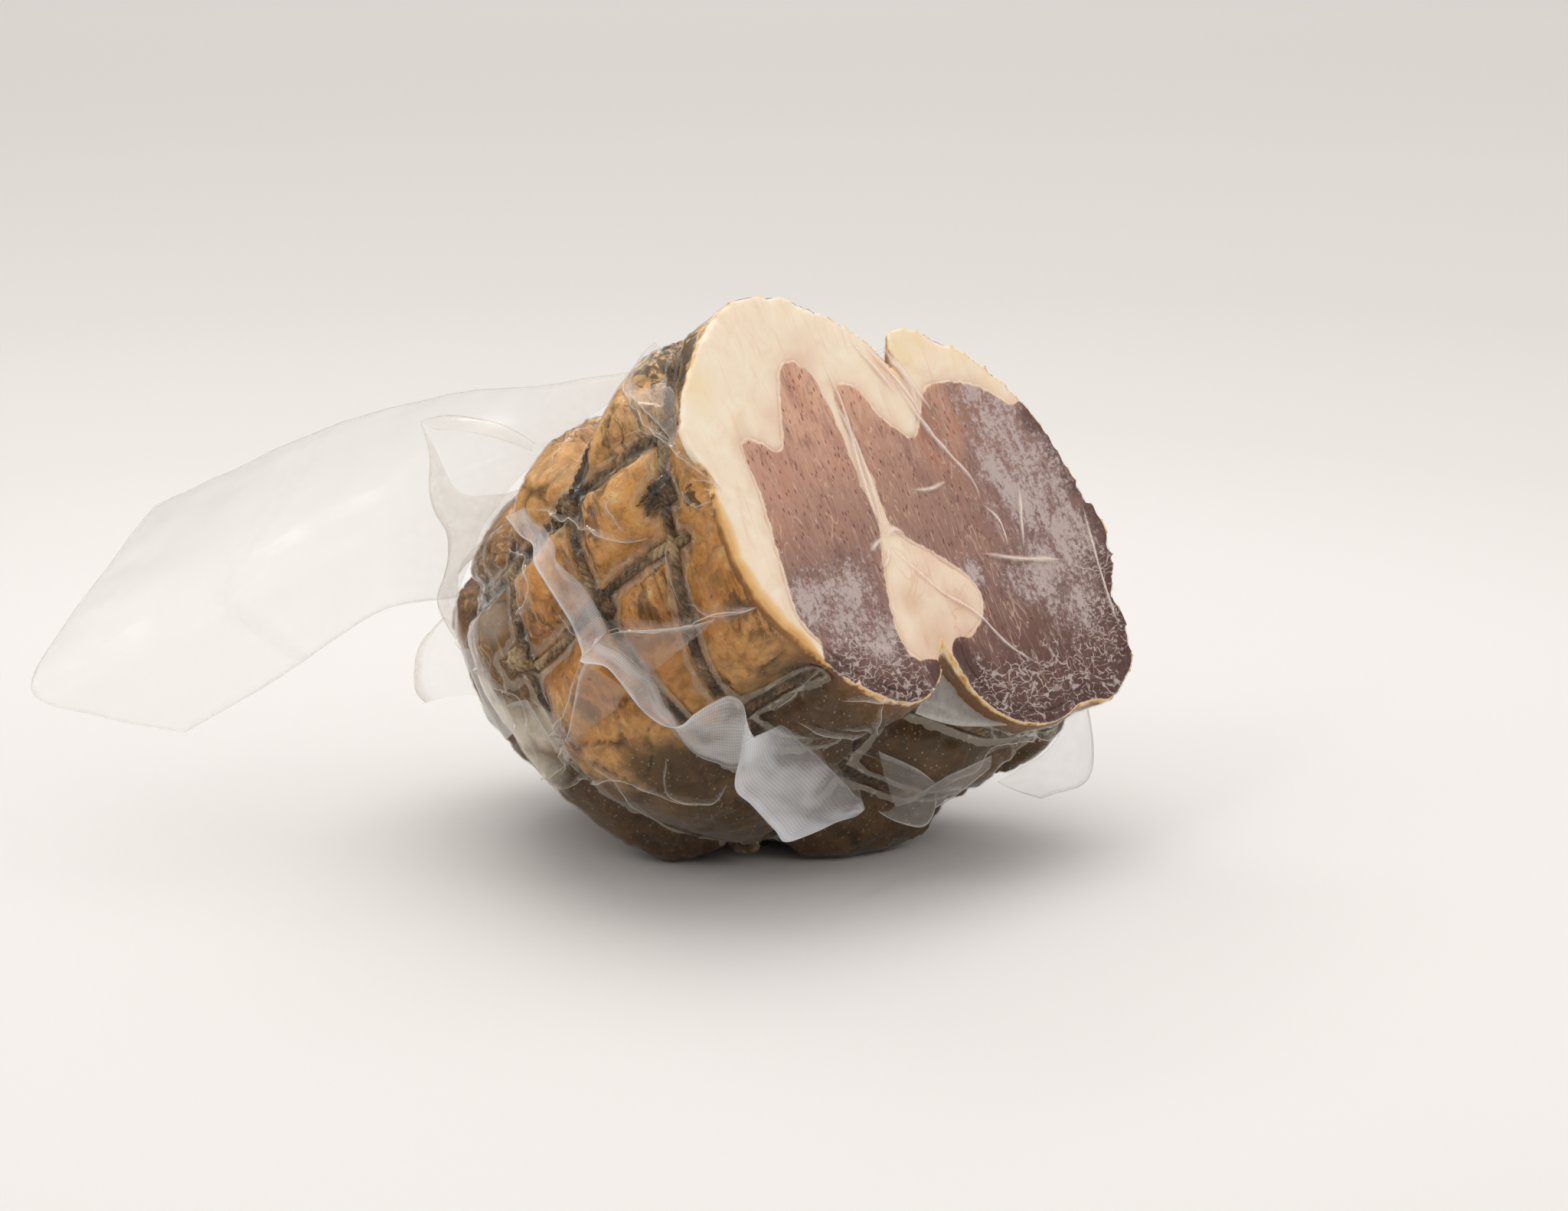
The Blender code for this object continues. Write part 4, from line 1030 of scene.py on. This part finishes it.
def film_piece(sheets, name, material, *replaced, thickness=SHEET_THICKNESS):
    """A finished piece of film from one or more sheets."""
    solid = joined(*sheets)
    solid.normal_update()
    mesh = bpy.data.meshes.new(name)
    solid.to_mesh(mesh)
    solid.free()
    mesh.shade_smooth()
    mesh.materials.append(material)
    made = bpy.data.objects.new(name, mesh)
    bpy.context.scene.collection.objects.link(made)
    wall = made.modifiers.new("film_thickness", "SOLIDIFY")
    wall.thickness = thickness
    wall.offset = 0.0
    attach(made, "root")
    if replaced:
        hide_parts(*replaced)
    return made


laid_twine = BVHTree.FromBMesh(twine_shape)
whole_meat = joined(fat_shape, *lean_shapes)
whole_tree = BVHTree.FromBMesh(whole_meat)
film = evaluated(joined(whole_meat, twine_shape), "REMESH", mode="VOXEL", voxel_size=FILM_NET)
largest_part(film)
for _ in range(TAUT_ROUNDS):
    for _ in range(2):
        bmesh.ops.smooth_vert(film, verts=film.verts, factor=0.5, use_axis_x=True, use_axis_y=True, use_axis_z=True)
    for vert in film.verts:
        vert.co += lift_off(vert.co, whole_tree, FILM_CLEARANCE)
        if laid_twine.find_nearest(vert.co, 6.0)[0] is not None:
            vert.co += lift_off(vert.co, laid_twine, FILM_CLEARANCE)
film.normal_update()


def film_gap(point):
    """How far the film has lifted off the meat and the twine."""
    gap = whole_tree.find_nearest(point)[3]
    near_twine = laid_twine.find_nearest(point, 6.0)[3]
    return gap if near_twine is None else min(gap, near_twine)


# Where the film stands off in a milky veil: a place in the part's frame, its radius, how milky
VEILS = [
    (-24, -32, 50, 14, 0.98), (-15, -40, 50, 11, 0.85), (-30, -26, 58, 13, 0.75), (-16, -26, 36, 14, 0.85),
    (-36, -18, 66, 12, 0.36), (-30, -34, 84, 9, 0.30), (-6, -46, 42, 9, 0.50), (-44, 4, 92, 13, 0.24),
]


def veil(point):
    """How milky the film is at a place seen from the cut."""
    spot = from_face @ point / MM
    milky = 0.015
    for x, y, z, radius, amount in VEILS:
        near = max(0.0, 1.0 - (spot - Vector((x, y, z))).length / radius)
        milky = max(milky, amount * min(1.0, 1.8 * near))
    return milky


mark(film, "haze", lambda vert: veil(vert.co))
mark(film, "gap", lambda vert: film_gap(vert.co) if vert.co.z < -0.5 else 0.0)
mark(film, "twine", lambda vert: laid_twine.find_nearest(vert.co)[3] if vert.co.z < -0.5 else 40.0)
film_tree = BVHTree.FromBMesh(film)
cling_material = film_material("clinging_film", 0.09, (230, 220, 202), 0.9, 0.1, lifts=True)
pleat_material = film_material("pleated_film", 0.09, (255, 246, 230), 0.8, 0.1)
piece_from(film, "clinging_film", cling_material, "film")

# ---- Pleats of the film ----
# Where the shrinking film had too much width it stands up in narrow pleats, which run out to nothing
# at both ends. Each: its height in millimetres, then its run as places seen from the cut.
PLEATS = [
    (3.4, [(-90, 2, -53), (-89, 2, -46), (-89, -1, -38), (-86, -4, -32), (-80, -6, -24), (-81, -7, -14), (-76, -10, -1)]),
    (1.4, [(-81, 0, -23), (-81, -4, -18), (-80, -8, -12), (-76, -10, -1)]),
    (3.0, [(-83, 47, -66), (-83, 44, -59), (-85, 38, -50), (-90, 29, -36), (-87, 24, -30), (-83, 21, -25)]),
    (1.6, [(-88, 38, -31), (-88, 31, -30), (-87, 26, -29)]),
    (3.0, [(-50, 75, -22), (-59, 71, -24), (-64, 68, -27), (-68, 64, -24), (-71, 57, -20), (-74, 49, -14), (-78, 43, -5)]),
    (1.6, [(-74, 49, -12), (-79, 43, -4), (-77, 35, -1), (-73, 27, 0)]),
    (1.2, [(-77, 33, -6), (-75, 32, -3), (-73, 26, 0)]),
    (1.2, [(-74, 55, -28), (-73, 54, -21), (-73, 50, -14), (-78, 44, -7)]),
    (3.2, [(-93, -3, -61), (-94, -9, -67), (-93, -15, -75), (-80, -22, -96), (-75, -27, -103), (-74, -29, -108)]),
    (1.8, [(-65, 27, -136), (-67, 18, -137), (-85, 10, -113), (-89, 1, -102), (-87, -5, -99), (-79, -20, -109), (-73, -27, -115)]),
    (1.6, [(-70, -27, -120), (-71, -33, -107), (-82, -37, -81), (-78, -43, -71), (-73, -48, -69), (-65, -55, -66)]),
    (1.4, [(-86, -31, -82), (-82, -39, -78), (-74, -46, -82), (-65, -54, -86)]),
    (1.4, [(-78, -39, -58), (-73, -48, -67), (-64, -55, -62), (-60, -53, -55)]),
    (1.6, [(-79, 43, -91), (-87, 35, -74), (-95, 25, -67), (-95, 20, -73), (-89, 19, -89)]),
    (1.2, [(-71, 51, -90), (-73, 49, -94), (-75, 46, -97)]),
    (1.4, [(-93, 14, -63), (-91, 6, -62), (-92, 1, -56)]),
    (1.0, [(-83, 43, -61), (-90, 35, -58), (-92, 25, -56), (-90, 17, -52)]),
    (1.2, [(-61, -39, -26), (-58, -37, -15), (-57, -32, 0)]),
    (1.0, [(-81, 18, -22), (-82, 10, -24), (-81, 0, -25)]),
    (1.2, [(-78, 32, -10), (-78, 25, -7), (-77, 24, 0)]),
    (1.6, [(-50, -44, -7), (-46, -45, -3), (-41, -48, -1), (-38, -49, 0), (-29, -53, 0)]),
    (2.0, [(-40, -49, -1), (-39, -51, -6), (-37, -53, -10), (-14, -55, -31)]),
    (1.4, [(-46, -51, -15), (-42, -52, -13), (-37, -54, -13), (-14, -55, -31)]),
    (1.4, [(-29, -58, -35), (-20, -58, -40), (-13, -62, -37)]),
    (2.6, [(56, -72, -14), (51, -75, -20), (39, -74, -19), (24, -73, -18), (18, -73, -20), (14, -76, -25), (9, -75, -30), (8, -77, -36)]),
    (1.0, [(4, -62, -10), (8, -66, -9), (16, -69, -13), (20, -72, -17), (18, -73, -20)]),
    (1.4, [(-57, -45, -21), (-48, -51, -19), (-36, -54, -15)]),
    (1.6, [(14, -69, -9), (24, -72, -11), (46, -73, -20), (57, -73, -19)]),
    (1.8, [(-75, -28, -104), (-75, -27, -110), (-69, -27, -121)]),
]
CUT_CREASES = [
    (1.3, [(-8, 59, 0), (-7, 44, 0), (-11, 21, 0), (-13, -1, 0)]),
    (1.5, [(20, 49, 0), (25, 33, 0), (32, 20, 0), (38, 9, 0), (38, 1, 0)]),
    (0.9, [(-12, -3, 0), (2, -21, 0), (15, -32, 0), (24, -45, 0), (36, -55, 0)]),
    (1.5, [(9, 11, 0), (17, 10, 0), (26, 11, 0)]),
    (1.5, [(28, -14, 0), (43, -19, 0), (66, -24, 0)]),
    (1.2, [(59, 3, 0), (54, -6, 0), (49, -17, 0)]),
    (1.4, [(19, 61, 0), (23, 55, 0), (27, 43, 0), (25, 34, 0)]),
    (1.7, [(-13, -1, 0), (-17, -2, 0), (-21, -4, 0)]),
    (1.4, [(-12, -4, 0), (-15, -8, 0), (-19, -10, 0)]),
    (1.6, [(-12, -1, 0), (-7, 1, 0), (-2, -2, 0)]),
    (1.3, [(13, 60, 0), (20, 50, 0), (25, 39, 0), (27, 30, 0)]),
    (1.2, [(20, 62, 0), (26, 50, 0), (29, 41, 0), (33, 33, 0)]),
    (1.0, [(8, 62, 0), (14, 52, 0), (19, 42, 0)]),
    (0.9, [(38, 1, 0), (43, -6, 0), (42, -15, 0)]),
    (1.2, [(-10, 46, 0), (-8, 30, 0), (-9, 14, 0), (-11, 2, 0)]),
    (1.0, [(86, -8, 0), (83, -22, 0), (80, -38, 0), (79, -52, 0)]),
]
PLEAT_STEP = 1.2
# A pleat's section, as shares of its height: across and up
PLEAT_SECTION = [(-0.9, 0.0), (-0.32, 0.26), (-0.07, 0.90), (0.0, 1.0), (0.07, 0.90), (0.32, 0.26), (0.9, 0.0)]
CREASE_SECTION = [(-1.4, 0.0), (-0.8, 0.14), (-0.3, 0.36), (0.0, 0.42), (0.3, 0.36), (0.8, 0.14), (1.4, 0.0)]


def pleat_rows(height, path, section):
    """Rows of places across a pleat with a given section."""
    length = sum(math.dist(a, b) for a, b in zip(path, path[1:]))
    line = curve_through(path, max(8, round(length / PLEAT_STEP)), False)
    rows = []
    for i, spot in enumerate(line):
        share = i / (len(line) - 1)
        foot, facing, _, _ = film_tree.find_nearest(Vector(spot))
        along = Vector(line[min(i + 1, len(line) - 1)] - line[max(i - 1, 0)]).normalized()
        side = facing.cross(along).normalized()
        rise = height * min(1.0, 5 * share, 5 * (1 - share)) ** 0.7 * (0.8 + 0.5 * noise.noise(foot / 6.0))
        lean = 0.5 * noise.noise(foot / 15.0)
        rows.append([
            np.array(from_face @ (foot + facing * (rise * up - 0.12) + side * (rise * (across + lean * up)))) / MM
            for across, up in section
        ])
    return np.array(rows)


def pleat_milk_and_highlight(along, across):
    """Milky on the crest, where the white is partly a painted highlight, and clear at the foot."""
    return 0.02 + 0.62 * math.exp(-((across - 0.5) / 0.11) ** 2)


def crease_milk_and_highlight(along, across):
    """Milky in the middle of a low crease, where the white is partly a painted highlight, and fading out at its sides
    and ends.
    """
    return 0.66 * math.exp(-((across - 0.5) / 0.22) ** 2) * math.sin(math.pi * along) ** 0.8


film_piece([grid_bmesh(pleat_rows(*pleat, PLEAT_SECTION), pleat_milk_and_highlight) for pleat in PLEATS], "film_pleats",
           pleat_material, thickness=0.06 * MM)
crease_material = film_material("creased_film", 0.16, (255, 240, 230), 0.3, 0.0)
film_piece([grid_bmesh(pleat_rows(*crease, CREASE_SECTION), crease_milk_and_highlight) for crease in CUT_CREASES], "cut_creases",
           crease_material, thickness=0.06 * MM)

# ---- Front weld ----
# The bag's side weld, a narrow band pressed with a fine net. The shrinking film has thrown it into
# ruffles across the front, and a clear web joins its inner edge to the film on the meat.
WELD_FREE_EDGE = [
    (-24, -40, 119), (-19, -48, 115), (-15, -52, 113), (-14, -62, 110), (-11, -66, 106), (-6, -70, 99),
    (-2, -73, 93), (1, -77, 86), (1, -81, 84), (8, -85, 84), (12, -85, 80), (15, -83, 75), (20, -81, 68),
    (26, -81, 64), (31, -83, 65), (35, -88, 70), (41, -92, 75), (46, -93, 77), (50, -93, 73), (49, -91, 60),
    (47, -88, 47), (52, -84, 40), (59, -78, 30), (63, -74, 25), (76, -63, 27), (84, -52, 26),
]
WELD_ROOT = [
    (-18, -34, 121), (-16, -42, 118), (-12, -46, 117), (-8, -56, 114), (-7, -61, 110), (0, -65, 104),
    (5, -69, 98), (8, -72, 91), (5, -74, 89), (12, -76, 86), (17, -77, 82), (22, -77, 77), (25, -76, 70),
    (29, -75, 64), (31, -74, 57), (36, -73, 52), (41, -73, 50), (47, -72, 48), (54, -72, 52), (60, -74, 62),
    (67, -70, 55), (76, -61, 44), (81, -53, 36), (84, -46, 30), (86, -44, 28), (87, -42, 25),
]
WELD_STEPS = 220


def curve_by_number(points, count):
    """A smooth curve through points, spaced so that each given point keeps its place in the count."""
    points = np.asarray(points, dtype=float)
    stops = np.linspace(0.0, len(points) - 1, count)
    made = []
    for stop in stops:
        i = min(int(stop), len(points) - 2)
        t = stop - i
        p0, p1 = points[max(i - 1, 0)], points[i]
        p2, p3 = points[i + 1], points[min(i + 2, len(points) - 1)]
        made.append(0.5 * (2 * p1 + (p2 - p0) * t + (2 * p0 - 5 * p1 + 4 * p2 - p3) * t ** 2
                           + (3 * p1 - p0 - 3 * p2 + p3) * t ** 3))
    return np.array(made)


def ruled(first, second, width, bow=0.0):
    """Rows of places between two edges, bowed out between them by a share of the width."""
    rows = []
    for a, b in zip(first, second):
        across = b - a
        rows.append([a + across * t for t in np.linspace(0.0, 1.0, width)])
    rows = np.array(rows)
    if bow:
        along = np.gradient((first + second) / 2, axis=0)
        out = np.cross(second - first, along)
        out /= np.linalg.norm(out, axis=1, keepdims=True)
        wide = np.linalg.norm(second - first, axis=1)
        for k, t in enumerate(np.linspace(0.0, 1.0, width)):
            rows[:, k] += out * (bow * wide * 4 * t * (1 - t))[:, None]
    return rows


free_edge = curve_by_number(WELD_FREE_EDGE, WELD_STEPS)
root_edge = curve_by_number(WELD_ROOT, WELD_STEPS)
weld_material = film_material("pressed_weld_film", 0.20, (246, 247, 250), 0.9, net_pitch=0.75)
film_piece([grid_bmesh(
    ruled(free_edge, root_edge, 9, 0.06), lambda along, across: 0.17 + 0.30 * along + 0.45 * math.exp(-(across / 0.05) ** 2),
)], "front_weld", weld_material, "bag_front_weld")

# Clear webs that hang from the weld: all along it, over its fold to the rim, below the fold, over the
# notch, and a pouch at the top where the film has not shrunk on. Each has an edge and a foot.
MILKY_WEBS = [
    ([(-25, -39, 58), (-24, -29, 47), (-21, -24, 38), (-17, 4, 21)],
     [(-18, -43, 61), (-14, -43, 54), (-10, -43, 47), (-7, -44, 45)]),
    ([(-42, -2, 66), (-38, -8, 58), (-33, -16, 50), (-26, -30, 44)],
     [(-32, -32, 72), (-28, -36, 66), (-25, -39, 58), (-22, -40, 52)]),
]
WEBS = [
    ([(6, -75, 90), (13, -79, 93), (23, -84, 95), (34, -83, 96), (41, -87, 99)],
     [(6, -75, 89), (10, -76, 87), (17, -79, 83), (21, -79, 80), (35, -82, 92)]),
    ([(2, -77, 83), (0, -76, 78), (-2, -72, 68), (-4, -65, 58), (-7, -47, 46), (-7, -38, 38)],
     [(14, -77, 74), (10, -72, 66), (5, -67, 61), (0, -62, 53), (-3, -56, 48), (-7, -37, 37)]),
    ([(22, -27, 171), (18, -32, 168), (15, -36, 163), (14, -43, 159), (18, -55, 157), (25, -64, 152), (30, -74, 148)],
     [(25, -26, 168), (25, -30, 167), (26, -40, 164), (27, -46, 162), (30, -63, 160), (30, -73, 156), (30, -75, 149)]),
]
NOTCH_WEB_TOP = [(-24, -53, -1.5), (-12, -47, -2), (-7, -42, -2.5), (-3, -50, -2.5), (6, -63, -2)]
NOTCH_WEB_FOOT = [(-26, -55, -3), (-16, -58, -7), (-6, -62, -8), (3, -65, -7), (12, -68, -3)]


def web_haze(along, across):
    """Milky in a narrow line along the free edge, and faint over the rest."""
    return 0.10 + 0.45 * math.exp(-(across / 0.06) ** 2)


web_foot = []
for point in root_edge:
    spot = to_face @ (Vector(point) * MM)
    place, facing, _, _ = film_tree.find_nearest(spot)
    web_foot.append(np.array(from_face @ (place + facing * 0.1)) / MM)
web_foot = np.array(eased(web_foot, False, 12))
notch_edges = [
    [tuple(from_face @ Vector(point) / MM) for point in edge] for edge in (NOTCH_WEB_FOOT, NOTCH_WEB_TOP)
]
web_material = film_material("clear_film", 0.07, (240, 238, 235), 0.5)
webs = [grid_bmesh(
    ruled(root_edge, web_foot, 5), lambda along, across: 0.08 + 0.3 * math.exp(-(across / 0.10) ** 2),
)]
for edge, foot in MILKY_WEBS:
    rows = ruled(curve_by_number(edge, 60), curve_by_number(foot, 60), 18, 0.08)
    webs.append(grid_bmesh(rows, lambda along, across: 0.36 + 0.2 * math.exp(-(across / 0.06) ** 2)))
for edge, foot in WEBS:
    webs.append(grid_bmesh(ruled(curve_by_number(edge, 60), curve_by_number(foot, 60), 18, 0.04), web_haze))
webs.append(grid_bmesh(
    ruled(*[curve_by_number(edge, 60) for edge in notch_edges], 18, 0.04),
    lambda along, across: 0.32 + 0.30 * math.exp(-(across / 0.10) ** 2),
))
film_piece(webs, "front_weld_webs", web_material)

# ---- Mouth of the bag ----
# The long open end of the bag, two layers of clear film that lie almost flat together. A crimped line
# crosses it. At its root it is folded back in a milky skirt and pulled on to the meat.
MOUTH_ROOT = [(22, -8, 160), (0, -4, 142), (-20, 2, 124), (-35, 4, 104), (-43, 2, 82)]
MOUTH_TOP = [(22, -8, 160), (-10, 12, 150), (-50, 44, 140), (-98, 70, 120), (-155, 90, 92)]
MOUTH_RIM = [(-155, 90, 92), (-166, 32, 76), (-176, -25, 60), (-152, -32, 52), (-126, -35, 48)]
MOUTH_FOOT = [(-43, 2, 82), (-63, -10, 82), (-79, -15, 74), (-99, -25, 62), (-126, -35, 48)]
MOUTH_CELLS = 90
SKIRT_EDGE = [
    (-56, 30, 134), (-53, 24, 124), (-53, 19, 114), (-51, 15, 107), (-47, 11, 101), (-46, 7, 94), (-47, 3, 89),
    (-49, 0, 83), (-48, -3, 78), (-43, -9, 71),
]
SKIRT_ROOT = [
    (-55, 29, 134), (-47, 16, 122), (-42, 10, 115), (-30, 2, 116), (-16, -6, 122), (-22, -8, 115), (-37, -10, 100),
    (-41, -10, 95), (-42, -10, 88), (-42, -10, 72),
]
LENS_TOP = [(-56, 30, 134), (-48, 24, 137), (-38, 16, 138), (-27, 8, 137), (-17, 0, 133)]
LENS_FOOT = [(-56, 30, 134), (-51, 26, 132), (-43, 20, 133), (-30, 8, 133), (-18, -2, 131)]
BACK_NEAR = [(-48, 4, 75), (-52, 8, 70), (-57, 12, 63), (-59, 15, 54), (-59, 18, 46), (-56, 18, 42)]
BACK_ROOT = [(-44, -2, 68), (-41, -2, 64), (-38, -2, 56), (-34, -1, 50), (-30, 0, 45), (-28, 0, 42)]


def hung(left, right, bottom, top, across, along):
    """Rows of places over a patch that hangs from its four edges."""
    left, right = curve_through(left, along, False), curve_through(right, along, False)
    bottom, top = curve_through(bottom, across, False), curve_through(top, across, False)
    v = np.linspace(0.0, 1.0, along)[:, None, None]
    u = np.linspace(0.0, 1.0, across)[None, :, None]
    edges = (1 - u) * left[:, None] + u * right[:, None] + (1 - v) * bottom[None] + v * top[None]
    corners = (1 - u) * (1 - v) * bottom[0] + u * (1 - v) * bottom[-1] + (1 - u) * v * top[0] + u * v * top[-1]
    return edges - corners


def facing_of(rows):
    """Unit normals over rows of places."""
    out = np.cross(np.gradient(rows, axis=1), np.gradient(rows, axis=0))
    return out / np.maximum(np.linalg.norm(out, axis=-1, keepdims=True), 1e-9)


mouth = hung(MOUTH_ROOT, MOUTH_RIM, MOUTH_TOP, MOUTH_FOOT, MOUTH_CELLS + 1, MOUTH_CELLS + 1)
out = facing_of(mouth)
upper, lower = mouth.copy(), mouth.copy()
for j in range(MOUTH_CELLS + 1):
    for i in range(MOUTH_CELLS + 1):
        u, v = i / MOUTH_CELLS, j / MOUTH_CELLS
        shut = min(1.0, min(u, 1 - u) / 0.10, min(v, 1 - v) / 0.08)
        spot = Vector(mouth[j, i]) / 38.0
        swell = 1.6 * noise.noise(spot) + 0.4 * noise.noise(spot * 2.9)
        gather = 1.0 * math.sin(30 * v + 3.0 * noise.noise(spot)) * max(0.0, 1 - u / 0.35) ** 2
        crimp = 0.35 * noise.noise(spot * 30.0) * math.exp(-((u - 0.66 + 0.1 * v) / 0.02) ** 2)
        upper[j, i] += out[j, i] * (swell + gather + crimp + 1.4 * shut)
        lower[j, i] += out[j, i] * (swell + 0.6 * gather + crimp - 1.4 * shut)


def mouth_haze(along, across):
    """Clear, a little milky along its edges and on the crimped line."""
    edge = math.exp(-(min(along, 1 - along) / 0.008) ** 2) + math.exp(-((1 - across) / 0.008) ** 2)
    crimp = math.exp(-((across - 0.66 + 0.1 * along) / 0.02) ** 2)
    return 0.018 + 0.16 * min(1.0, edge) + 0.05 * crimp + 0.05 * max(0.0, 1 - across / 0.25)


def rippled(rows, height, length):
    """Rows of places moved out and in by soft noise."""
    out = facing_of(rows)
    moved = rows.copy()
    for spot in np.ndindex(rows.shape[:2]):
        moved[spot] += out[spot] * height * noise.noise(Vector(rows[spot]) / length)
    return moved


mouth_material = film_material("mouth_film", 0.12, (250, 248, 245), gloss=0.15)
skirt_material = film_material("mouth_film_on_meat", 0.10, (248, 240, 230), gloss=0.35)
film_piece([grid_bmesh(upper, mouth_haze)], "mouth_upper_film", mouth_material, "bag_mouth")
film_piece([grid_bmesh(lower, mouth_haze)], "mouth_lower_film", mouth_material)
skirt = ruled(curve_by_number(SKIRT_EDGE, 90), curve_by_number(SKIRT_ROOT, 90), 24, 0.10)
lens = ruled(curve_by_number(LENS_TOP, 50), curve_by_number(LENS_FOOT, 50), 12, 0.35)
back = ruled(curve_by_number(BACK_NEAR, 50), curve_by_number(BACK_ROOT, 50), 14, 0.25)
film_piece([
    grid_bmesh(rippled(skirt, 1.5, 14.0), lambda along, across: 0.22 + 0.35 * math.exp(-(across / 0.03) ** 2)),
    grid_bmesh(lens, lambda along, across: 0.06 + 0.2 * math.exp(-(min(across, 1 - across) / 0.06) ** 2)),
    grid_bmesh(rippled(back, 1.0, 12.0), lambda along, across: 0.04 + 0.3 * math.exp(-(across / 0.05) ** 2)),
], "mouth_skirt", skirt_material)

# ---- Folded corner ----
# A corner of the bag at the lower right, folded over a crest of film that runs along the rind.
CORNER_UPPER = [(91.2, -42, 44), (102.8, -42, 38.6), (109, -38, 32.5)]
CORNER_CREST = [(97, -31, 22.5), (103, -33, 26), (109, -37.5, 32)]
CORNER_FOOT = [(91.3, -41, 24), (95, -42, 21.8), (100, -43, 20.2), (105, -43, 19.5), (108, -42, 22), (109.6, -40, 27)]
FOLD_CREST = [(109, -37.5, 32), (114, -39, 35.6), (120, -38, 38), (127, -35, 40.5)]
FOLD_FOOT = [(109.2, -38, 24), (113.8, -38, 26.8), (118.8, -36, 30), (126.5, -34, 36)]
CORNER_STEPS = 40


def corner_haze(along, across):
    """Milky, more so on the crest and at the free edge."""
    return 0.15 + 0.36 * math.exp(-((1 - across) / 0.05) ** 2) + 0.30 * math.exp(-(across / 0.06) ** 2)


corner_sheets = []
for first, second, bow in ((CORNER_UPPER, CORNER_CREST, 0.05), (CORNER_CREST, CORNER_FOOT, -0.08), (FOLD_CREST, FOLD_FOOT, 0.05)):
    runs = [curve_by_number(edge, CORNER_STEPS) for edge in (first, second)]
    corner_sheets.append(grid_bmesh(ruled(*runs, 9, bow), corner_haze))
film_piece(corner_sheets, "folded_corner", web_material, "bag_corner")

# ---- Back weld ----
# The same kind of pressed band on the bag's other side. It stands out round the right of the cut and
# runs on round the back.
BACK_WELD = [
    (0.560, 0.16), (0.510, 0.15), (0.450, 0.17), (0.390, 0.22), (0.320, 0.31), (0.250, 0.40), (0.180, 0.50),
]
BACK_WELD_LIFT = 2.0
BACK_WELD_WIDTH = 13.0
BACK_WELD_RUFFLE = 2.5
BACK_WELD_STEPS = 210
strip = []
for i, (around, share) in enumerate(curve_through(BACK_WELD, BACK_WELD_STEPS, False)):
    root = Vector(on_dome(dome, around, share))
    out = Vector(on_dome(dome_facing, around, share)).normalized()
    wave = math.sin(1.1 * 35 * i / (BACK_WELD_STEPS - 1))
    taper = min(1.0, i / 8, (BACK_WELD_STEPS - 1 - i) / 8)
    row = []
    for reach in np.linspace(-0.15, 1.0, 10):
        spot = root + out * (BACK_WELD_LIFT + BACK_WELD_WIDTH * max(reach * taper, reach - 0.0 if reach < 0 else 0.0))
        spot.y += BACK_WELD_RUFFLE * wave * max(0.0, reach) * taper
        row.append(np.array(from_face @ spot) / MM)
    strip.append(row)
film_piece([grid_bmesh(
    np.array(strip), lambda along, across: 0.07 + 0.40 * math.exp(-((1 - across) / 0.05) ** 2),
)], "back_weld", weld_material, "bag_back_weld")
